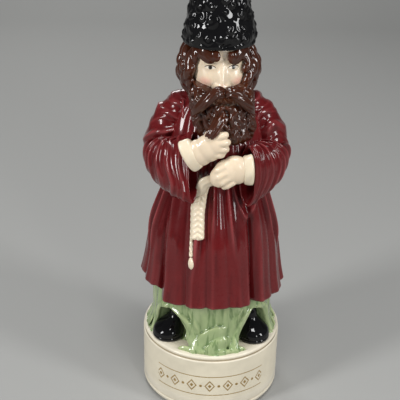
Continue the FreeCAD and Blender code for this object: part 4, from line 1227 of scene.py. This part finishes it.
def head():
    """The head as radius over angle and height, finer in front, with the face's relief added
    forwards; then the flat ledge that the hat sits on and the well that the neck stands in."""
    rows, around, square = 196, 430, 2.35
    spread = linspace(-1, 1, around, endpoint=False)[None]
    angle = pi * (0.42 * spread + 0.58 * spread**3)
    wide, deep = (through(HEAD_SHAPE, rows) * HEAD_HALF).T[..., None]
    low = CHIN_Z - 1
    z = (low + (CROWN_Z - low) * linspace(0, 1, rows))[:, None]
    round_off = (np.abs(sin(angle)) ** square + np.abs(cos(angle)) ** square) ** (-1 / square)
    sides = oval(angle, wide * round_off, deep * round_off, z)
    forwards = (cos(angle) > 0) * ease(cos(angle) * 2.5)
    sides[..., 1] -= face_relief(sides[..., 0], z) * forwards
    rim = sides[-1]
    steps = linspace(0, 1, 13)[1:, None, None]
    goal = unit(rim * [1, 1, 0]) * (NECK_RADIUS - 1.6) + Z * CROWN_Z
    ledge = rim[None] + (goal - rim)[None] * steps
    well = goal[None] - Z * (steps * (CROWN_Z - NECK_Z - 1.5))
    return skin(turned(np.concatenate([sides, ledge, well], 0)))


def face_finish():
    """Cream glaze with blushed cheeks and nose, painted eyes with a lid line, and soft brows."""
    finish = Finish("face_glaze")
    turn = math.radians(-sizes().head_turn)
    px, py, z = finish.parts()
    x = px * math.cos(turn) - py * math.sin(turn)
    y = px * math.sin(turn) + py * math.cos(turn)
    mirror = x.size()
    cream = colours().cream
    height = finish.crest()
    # Painted shade: darker and warmer in the face's creases, with glaze pooling there. Painted
    # highlight: lighter on its crests.
    base = finish.mix((-1 * height).between(0.03, 0.5), cream, tinted(cream, 0.80, 0.58, 0.46))
    base = finish.mix(height.between(0.1, 0.7) * 0.6, base, tinted(cream, 1.08, 1.1, 1.12))

    def ellipse(centre_x, centre_z, half_x, half_z):
        across, up = (mirror - centre_x) / half_x, (z - centre_z) / half_z
        return (across * across + up * up) ** 0.5

    blush = ellipse(9.6, NOSE_Z + 3.2, 5.4, 4.2).below(0.1, 1.0)
    nose_blush = ellipse(0.0, NOSE_Z + 1.2, 3.6, 3.0).below(0.2, 1.0)
    speckle = finish.noise(1500, 2.0).between(0.3, 0.7) * 0.35 + 0.65
    base = finish.mix(blush * speckle * 0.62, base, (0.72, 0.30, 0.24))
    base = finish.mix(nose_blush * 0.32, base, (0.72, 0.34, 0.27))
    aside = mirror - EYE_X
    bend = aside * aside * 0.115
    lid_z, low_z = EYE_Z + 1.35 - bend, EYE_Z - 1.05 + bend * 0.8
    near_eye = aside.size().below(2.9, 3.3)
    lid = (z - lid_z).size().below(0.20, 0.36) * near_eye
    inside = z.between(low_z, low_z + 0.25) * z.below(lid_z - 0.25, lid_z) * near_eye
    iris = ellipse(EYE_X, EYE_Z + 0.15, 1.18, 1.25).below(0.86, 1.0) * inside
    brow_z = BROW_Z + 0.9 - (aside + 0.5) * (aside + 0.5) * 0.055
    brow_wide = 0.75 - (mirror - 1.5) * 0.05
    hairs = finish.noise(1900, 2.0, stretch=(1, 1, 0.5)).between(0.25, 0.6)
    brow = ((z - brow_z).size() / brow_wide).below(0.7, 1.1)
    brow = brow * mirror.between(2.6, 3.6) * mirror.below(10.2, 11.4) * (0.35 + 0.6 * hairs)
    front = (-1 * y).between(3.0, 5.0)
    base = finish.mix(inside * 0.5 * front, base, (0.86, 0.80, 0.72))
    base = finish.mix(brow * front, base, tinted(colours().brown, 1.6, 1.9, 2.2))
    base = finish.mix(iris * front, base, (0.012, 0.008, 0.007))
    base = finish.mix(lid * front, base, (0.035, 0.014, 0.009))
    finish.set(Base_Color=base, Roughness=0.28, Coat_Weight=0.28, Coat_Roughness=0.12,
               Normal=finish.bump(finish.noise(170, 1.0), 0.06), **SOFT_LIGHT)
    return finish.material


def tiled_locks(draw, surface, levels, low, angles, stagger, falls, sway, wave, radius, spread):
    """Rows of waving locks that overlap like tiles on a surface, one row a level. stagger is how
    much a lock strays from its angle and how far every second row is shifted. A lock falls by a
    length drawn between the falls, but not below low. Its angle drifts by up to sway and swings
    to and fro by wave, and it rises off the surface half way down. spread is how much the radius
    varies."""
    forms, count, steps = [], len(angles), 26
    t = linspace(0, 1, steps)[None]
    rise = (1.0 * sin(pi * clip(t * 1.1, 0, 1)) - 0.9 * (1 - t) ** 3)[..., None]
    for row, level in enumerate(levels):
        starts = angles + draw.uniform(-stagger[0], stagger[0], count) + stagger[1] * (row % 2)
        heights = np.minimum(level + draw.uniform(-1.2, 1.2, count), CROWN_Z - 1.2)
        fall = np.minimum(draw.uniform(*falls, count), heights - low)
        drift = draw.uniform(-sway, sway, count)
        radii = radius * draw.uniform(1 - spread, 1 + spread, count)
        phase, beats = draw.uniform(0, 2 * pi, (count, 1)), draw.uniform(0.8, 1.5, (count, 1))
        swing = wave * sin(2 * pi * beats * t + phase) * (0.25 + 0.75 * t)
        base, outward = surface(starts[:, None] + drift[:, None] * t + swing,
                                heights[:, None] - fall[:, None] * t)
        forms.append(locks(base + outward * rise, outward[:, steps // 2], radii))
    return forms


def beard_surface(angle, z):
    """Point and outward direction on the beard's mass at an angle from its front and a height."""
    share = clip((z - BEARD_LOW) / (SHOULDER_Z + 9 - BEARD_LOW), 0, 1)
    full = quarter(share / 0.22) * 0.30 + 0.70
    wide = 18.4 * full * (1 - 0.10 * share**2)
    deep = (20.8 - 3.2 * share**1.5) * full
    deep = deep * (1 - 0.80 * ease((z - SHOULDER_Z - 2.5) / 8.0) * bell(angle, 0.95))
    wide = wide * (1 - 0.24 * (1 - share) ** 1.5 * (sin(angle) < 0))
    x = 1.6 * (1 - share) + wide * sin(angle)
    y = BEARD_Y - deep * cos(angle)
    z = z - 7.0 * bell(angle, 0.85) * ease((z - SHOULDER_Z) / 9)
    outward = unit(stack([sin(angle) / wide, -cos(angle) / deep, -0.012 * (share < 0.3)], -1))
    return stack([x, y, z], -1), outward


def beard():
    """The beard: a solid mass under rows of waving locks, and the locks held in the fist."""
    draw = draws(11)
    z = linspace(BEARD_LOW, SHOULDER_Z + 11, 50)[:, None]
    angle = circle(90, -pi)[None]
    mass, outward = beard_surface(angle + 0 * z, z + 0 * angle)
    levels = np.arange(SHOULDER_Z + 8, BEARD_LOW + 2, -3.7)
    rows = tiled_locks(draw, beard_surface, levels, BEARD_LOW - 0.2, linspace(-1.75, 1.75, 16),
                       (0.07, 0.1), (8.0, 12.5), 0.10, 0.085, sizes().curl, 0.2)
    form = with_head(gathered([skin(mass - outward * 0.3), *rows]))
    paths = stack([through(keys, 26) for keys in HELD_LOCKS])
    return gathered([form, locks(paths, np.tile(FRONT, (3, 1)), np.array(HELD_RADII))])


def moustache():
    """Two drooping lobes that part under the nose, run out and turn down, each of strands that
    twist slowly about the lobe's own line."""
    forms, count, steps = [], 7, 70
    u = linspace(0, 1, steps)
    fat = 0.55 + 0.45 * sin(pi * (0.14 + 0.80 * u))
    ends = rounded(steps, 0.06, 0.35)
    for side in (RIGHT, LEFT):
        middle = through([(side * x, y, NOSE_Z + rise) for x, y, rise in MOUSTACHE], steps)
        middle[:, 2] += 0.5 * sin(2.6 * pi * u)
        for i in range(count):
            turn = 2 * pi * i / count + side * 1.9 * u
            path = middle + Z * (2.9 * fat * sin(turn))[:, None]
            path = path + FRONT * (1.7 * fat * cos(turn))[:, None]
            thick = 1.35 * (0.55 + 0.45 * fat) * ends
            forms.append(tube(path, FRONT, thick, thick, 14))
        forms.append(tube(middle, FRONT, 1.9 * (fat * ends), 3.1 * (fat * ends), 24))
    return with_head(gathered(forms))


def hair_surface(angle, z):
    """Point and outward direction on the mass of the hair."""
    share = clip((z - (SHOULDER_Z - 6)) / (CROWN_Z - SHOULDER_Z + 6), 0, 1)
    full = 1 - 0.20 * ease((share - 0.60) / 0.40) - 0.34 * ease((0.52 - share) / 0.52)
    return oval(angle, 22.0 * full, 21.0 * full, z) + 1.5 * Y, unit(oval(angle, 1.0, 1.0, 0 * z))


def hair():
    """Hair down the sides and back: a solid mass behind the face under rows of curling locks, and
    the locks of the fringe, parted over the brow under a band along the hat."""
    draw = draws(23)
    open_half, low = 0.93, SHOULDER_Z - 5.5
    z = linspace(low, CROWN_Z - 0.4, 50)[:, None]
    angle = circle(120)[None]
    mass, outward = hair_surface(angle + 0 * z, z + 0 * angle)
    sunk = 1.2 + 7.5 * ease((cos(angle) - 0.42) / 0.25)
    levels = np.arange(CROWN_Z - 1.2, low + 5, -6.2)
    rows = tiled_locks(draw, hair_surface, levels, low,
                       linspace(open_half, 2 * pi - open_half, 13), (0.05, 0.07), (9.0, 14.0),
                       0.12, 0.065, 1.8 * sizes().curl, 0.15)
    fringe = []
    swell = rounded(36, 0.3, 0.55)
    for wide, thick, points in FRINGE:
        path = through([(x, y, CROWN_Z - drop) for x, y, drop in points], 36)
        fringe.append(tube(path, sideways(path), wide * swell, thick * swell, 20,
                           lambda v, a: 0.34 * sin(9 * a + 3 * v)))
    mass = skin(mass - outward * (sunk + 0 * z)[..., None])
    return gathered([mass, *rows, with_head(gathered(fringe))])


def hair_finish():
    """Chestnut glaze, almost black between the locks, where it pools and shade is painted in, and
    foxy red on crests, where it runs thin and highlight is painted in.
    """
    brown = colours().brown
    return glaze("chestnut_glaze", brown, tinted(brown, 0.18, 0.14, 0.14),
                 (0.16, 0.038, 0.0135), 0.55, rough=0.25, coat=0.9, ripple=0.05).material


class DECANTER_OT_head(bpy.types.Operator):
    """Makes the head with its face, the hair, the beard and the moustache."""

    bl_idname = "decanter.head"
    bl_label = "Head and hair"

    def execute(self, context):
        chestnut = hair_finish()
        piece("head", head(), face_finish())
        piece("hair_piece", hair(), chestnut)
        piece("beard_piece", beard(), chestnut)
        piece("moustache_piece", moustache(), chestnut)
        return {"FINISHED"}


# ---------------------------------------------------------------- the neck, the hat and its cork

def hat_profile():
    """Outside of the hat from its seat up: a rounded brim, straight drawn-in sides, a domed top."""
    sides = ((1.6, 0.15), (0.75, 1.3), (0.8, 6), (2.2, 12.5), (4.4, 21), (5.9, 30), (7.0, 38),
             (9.4, 43))
    body = [(HAT_RADIUS - inset, CROWN_Z + rise) for inset, rise in sides]
    seat = (NECK_RADIUS + 2.0 + 3.0, CROWN_Z + 0.05)
    return through([seat, *body, (HAT_RADIUS - 14.5, TOP_Z - 1.1), (0.15, TOP_Z - 0.6)], 224)


def curls(points, normals):
    """Height of the fur, from 0 to 1: each point takes the highest of the curls near it, and a curl
    is a bell with a spiral groove wound about its middle."""
    draw = draws(31)
    count, keep, far = 800, 105, 10.0
    chosen = points[draw.integers(0, len(points), count)]
    centres = [chosen[0]]
    gap = np.linalg.norm(chosen - centres[0], axis=1)
    for _ in range(keep - 1):
        centres.append(chosen[int(np.argmax(gap))])
        gap = np.minimum(gap, np.linalg.norm(chosen - centres[-1], axis=1))
    height = np.zeros(len(points))
    for centre in centres:
        offset = points - centre
        away = np.linalg.norm(offset, axis=1)
        near = away < far
        level = cross(Z, normals[near])
        turn = np.arctan2(offset[near, 2],
                          level[:, 0] * offset[near, 0] + level[:, 1] * offset[near, 1])
        wide, phase = draw.uniform(2.8, 4.2), draw.uniform(0, 2 * pi)
        way = 1 if draw.uniform() < 0.5 else -1
        spiral = 0.80 + 0.20 * cos(way * turn + 1.5 * away[near] + phase)
        height[near] = np.maximum(height[near], bell(away[near], wide) * spiral)
    return height


def hat():
    """The fur hat: the turned outside lifted by its curls, then the seat, the recess over the
    neck's lip, and the plug with its vent."""
    angle = circle(410)[None]
    profile = hat_profile()
    slope = unit(np.gradient(profile, axis=0))
    out = stack([slope[:, 1], -slope[:, 0]], -1)
    ring = oval(angle, 1.0, 1.0, 0.0)

    def around(section):
        return ring * section[:, :1, None] + Z * section[:, 1:, None]

    points, normals = around(profile), around(out)
    fur = curls(points.reshape(-1, 3), normals.reshape(-1, 3)).reshape(points.shape[:2])
    z = points[..., 2]
    lumps = 0.35 * sin(5 * angle + z * 0.25) + 0.25 * sin(8 * angle - z * 0.33)
    rise = ease((z - CROWN_Z - 0.4) / 2.5) * (sizes().fur * (fur - 0.45) + lumps)
    points = points + normals * rise[..., None]
    recess, floor, plug, vent = NECK_RADIUS + 1.0, LIP_Z + 1.0, 5.5, 1.4
    inside = np.array([
        (0.1, floor + 2.5), (vent, floor + 2.5), (vent, PLUG_Z + 0.3), (vent + 0.3, PLUG_Z),
        (plug - 0.4, PLUG_Z), (plug, PLUG_Z + 0.4), (plug, floor - 0.2), (plug + 0.2, floor),
        (recess - 0.3, floor), (recess, floor - 0.3), (recess, CROWN_Z + 0.5),
        (recess + 0.45, CROWN_Z + 0.05), (NECK_RADIUS + 3.4, CROWN_Z + 0.05),
    ])
    return skin(np.concatenate([around(inside), points], 0))


def plain_finish(name, colour, rough, grain, depth):
    """An unglazed or raw surface with a grain of its own."""
    finish = Finish(name)
    pits = finish.noise(grain, 5.0, Roughness=0.7)
    base = finish.mix(pits.between(0.35, 0.65), tinted(colour, 0.7, 0.66, 0.6), colour)
    finish.set(Base_Color=base, Roughness=rough, Normal=finish.bump(pits, depth))
    return finish.material


class DECANTER_OT_stopper(bpy.types.Operator):
    """Makes the fur hat that closes the neck, and finishes the neck and the cork."""

    bl_idname = "decanter.stopper"
    bl_label = "Hat and neck"

    def execute(self, context):
        piece("hat_piece", hat(), black_finish("fur_glaze", 0.10))
        cork = plain_finish("pressed_cork", (0.50, 0.33, 0.19), 0.85, 1600, 0.25)
        bisque = plain_finish("bare_clay", (0.78, 0.70, 0.58), 0.75, 2600, 0.04)
        for node, material in (("cork_sleeve", cork), ("neck_ring", bisque)):
            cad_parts[node].material_slots[0].material = material
        return {"FINISHED"}


# ---------------------------------------------------------------- floor, lamps and camera

CAMERA_PLACE = np.array([-4.333, -516.718, 391.538])
CAMERA_AHEAD = np.array([-0.00860, 0.89561, -0.44475])
CAMERA_RIGHT = np.array([0.99964, 0.01903, 0.01899])
LENS, SENSOR = 81.0, 36.0
LIT_MIDDLE = np.array([0.0, 0.0, 150.0])
# The lamps: place, width and height in millimetres, and watts.
LAMPS = {
    "window_left": ((-950, -660, 660), 230, 620, 12.5),
    "window_right": ((900, -520, 560), 200, 600, 7.5),
    "overhead": ((60, -320, 1250), 420, 240, 7.0),
    "front_strip": ((470, -1000, 430), 110, 420, 2.1),
    "behind": ((-350, 1000, 800), 400, 400, 4.0),
}
ROOM_COLOUR, ROOM_STRENGTH = (0.9, 0.95, 1.0, 1.0), 0.13
PAPER_COLOUR = (0.31, 0.31, 0.30, 1.0)


def lamp(name, place, width, tall, watts):
    """A rectangular lamp that faces the figure's middle."""
    light = bpy.data.lights.new(name, "AREA")
    light.shape = "RECTANGLE"
    light.size, light.size_y, light.energy = width * MM, tall * MM, watts
    back = unit(np.array(place, float) - LIT_MIDDLE)
    side = unit(cross(Z, back))
    stand(linked(name, light), place, side, cross(back, side), back)


def backdrop():
    """A floor that sweeps up behind the object, as an open sheet with a curved corner."""
    far, radius, half = 900.0, 500.0, 3000.0
    bend = arc((far, radius), radius, -90, 0, 24)
    line = np.vstack([[(-2500, 0), (-800, 0), (0, 0)], bend, [(far + radius, 2600)]])
    across = linspace(-half, half, 9)[None]
    sheet = stack(np.broadcast_arrays(across, line[:, :1], line[:, 1:]), -1)
    number = np.arange(sheet[..., 0].size).reshape(sheet.shape[:2])
    quads = stack([number[:-1, :-1], number[:-1, 1:], number[1:, 1:], number[1:, :-1]], -1)
    mesh = mesh_from("backdrop", Form(sheet.reshape(-1, 3), quads.reshape(-1, 4)))
    finish = Finish("paper")
    finish.set(Base_Color=PAPER_COLOUR, Roughness=0.9)
    mesh.materials.append(finish.material)
    linked("backdrop", mesh)


class DECANTER_OT_stage(bpy.types.Operator):
    """Makes the pale floor, the soft lamps and the camera."""

    bl_idname = "decanter.stage"
    bl_label = "Stage"

    def execute(self, context):
        scene = context.scene
        scene.view_settings.view_transform = "Standard"
        backdrop()
        for name, values in LAMPS.items():
            lamp(name, *values)
        scene.world = bpy.data.worlds.new("room")
        scene.world.use_nodes = True
        room = scene.world.node_tree.nodes["Background"].inputs
        room["Color"].default_value, room["Strength"].default_value = ROOM_COLOUR, ROOM_STRENGTH
        camera = bpy.data.cameras.new("camera")
        camera.lens, camera.sensor_width = LENS, SENSOR
        camera.clip_start, camera.clip_end = 0.01, 20.0
        scene.camera = linked("camera", camera)
        up = -cross(CAMERA_AHEAD, CAMERA_RIGHT)
        stand(scene.camera, CAMERA_PLACE, CAMERA_RIGHT, up, -CAMERA_AHEAD)
        return {"FINISHED"}


# ---------------------------------------------------------------- the panel and the run

OPERATORS = (
    DECANTER_OT_drum, DECANTER_OT_ground, DECANTER_OT_coat, DECANTER_OT_sash, DECANTER_OT_hands,
    DECANTER_OT_head, DECANTER_OT_stopper, DECANTER_OT_stage,
)


class DECANTER_PT_panel(bpy.types.Panel):
    """Lists the sizes, the colours and the pieces."""

    bl_idname = "DECANTER_PT_panel"
    bl_label = "Figural decanter"
    bl_space_type = "VIEW_3D"
    bl_region_type = "UI"
    bl_category = "Decanter"

    def draw(self, context):
        for group in (context.scene.decanter_sizes, context.scene.decanter_colours):
            for name in group.bl_rna.properties.keys():
                if name not in ("rna_type", "name"):
                    self.layout.prop(group, name)
        for operator in OPERATORS:
            self.layout.operator(operator.bl_idname)


CLASSES = (FigureSizes, GlazeColours, *OPERATORS, DECANTER_PT_panel)


def register():
    for item in CLASSES:
        bpy.utils.register_class(item)
    bpy.types.Scene.decanter_sizes = PointerProperty(type=FigureSizes)
    bpy.types.Scene.decanter_colours = PointerProperty(type=GlazeColours)


def unregister():
    del bpy.types.Scene.decanter_sizes
    del bpy.types.Scene.decanter_colours
    for item in reversed(CLASSES):
        bpy.utils.unregister_class(item)


def main():
    register()
    bpy.ops.decanter.stage()
    bpy.ops.decanter.drum()
    bpy.ops.decanter.ground()
    bpy.ops.decanter.coat()
    bpy.ops.decanter.sash()
    bpy.ops.decanter.hands()
    bpy.ops.decanter.head()
    bpy.ops.decanter.stopper()


if __name__ == "__main__":
    main()
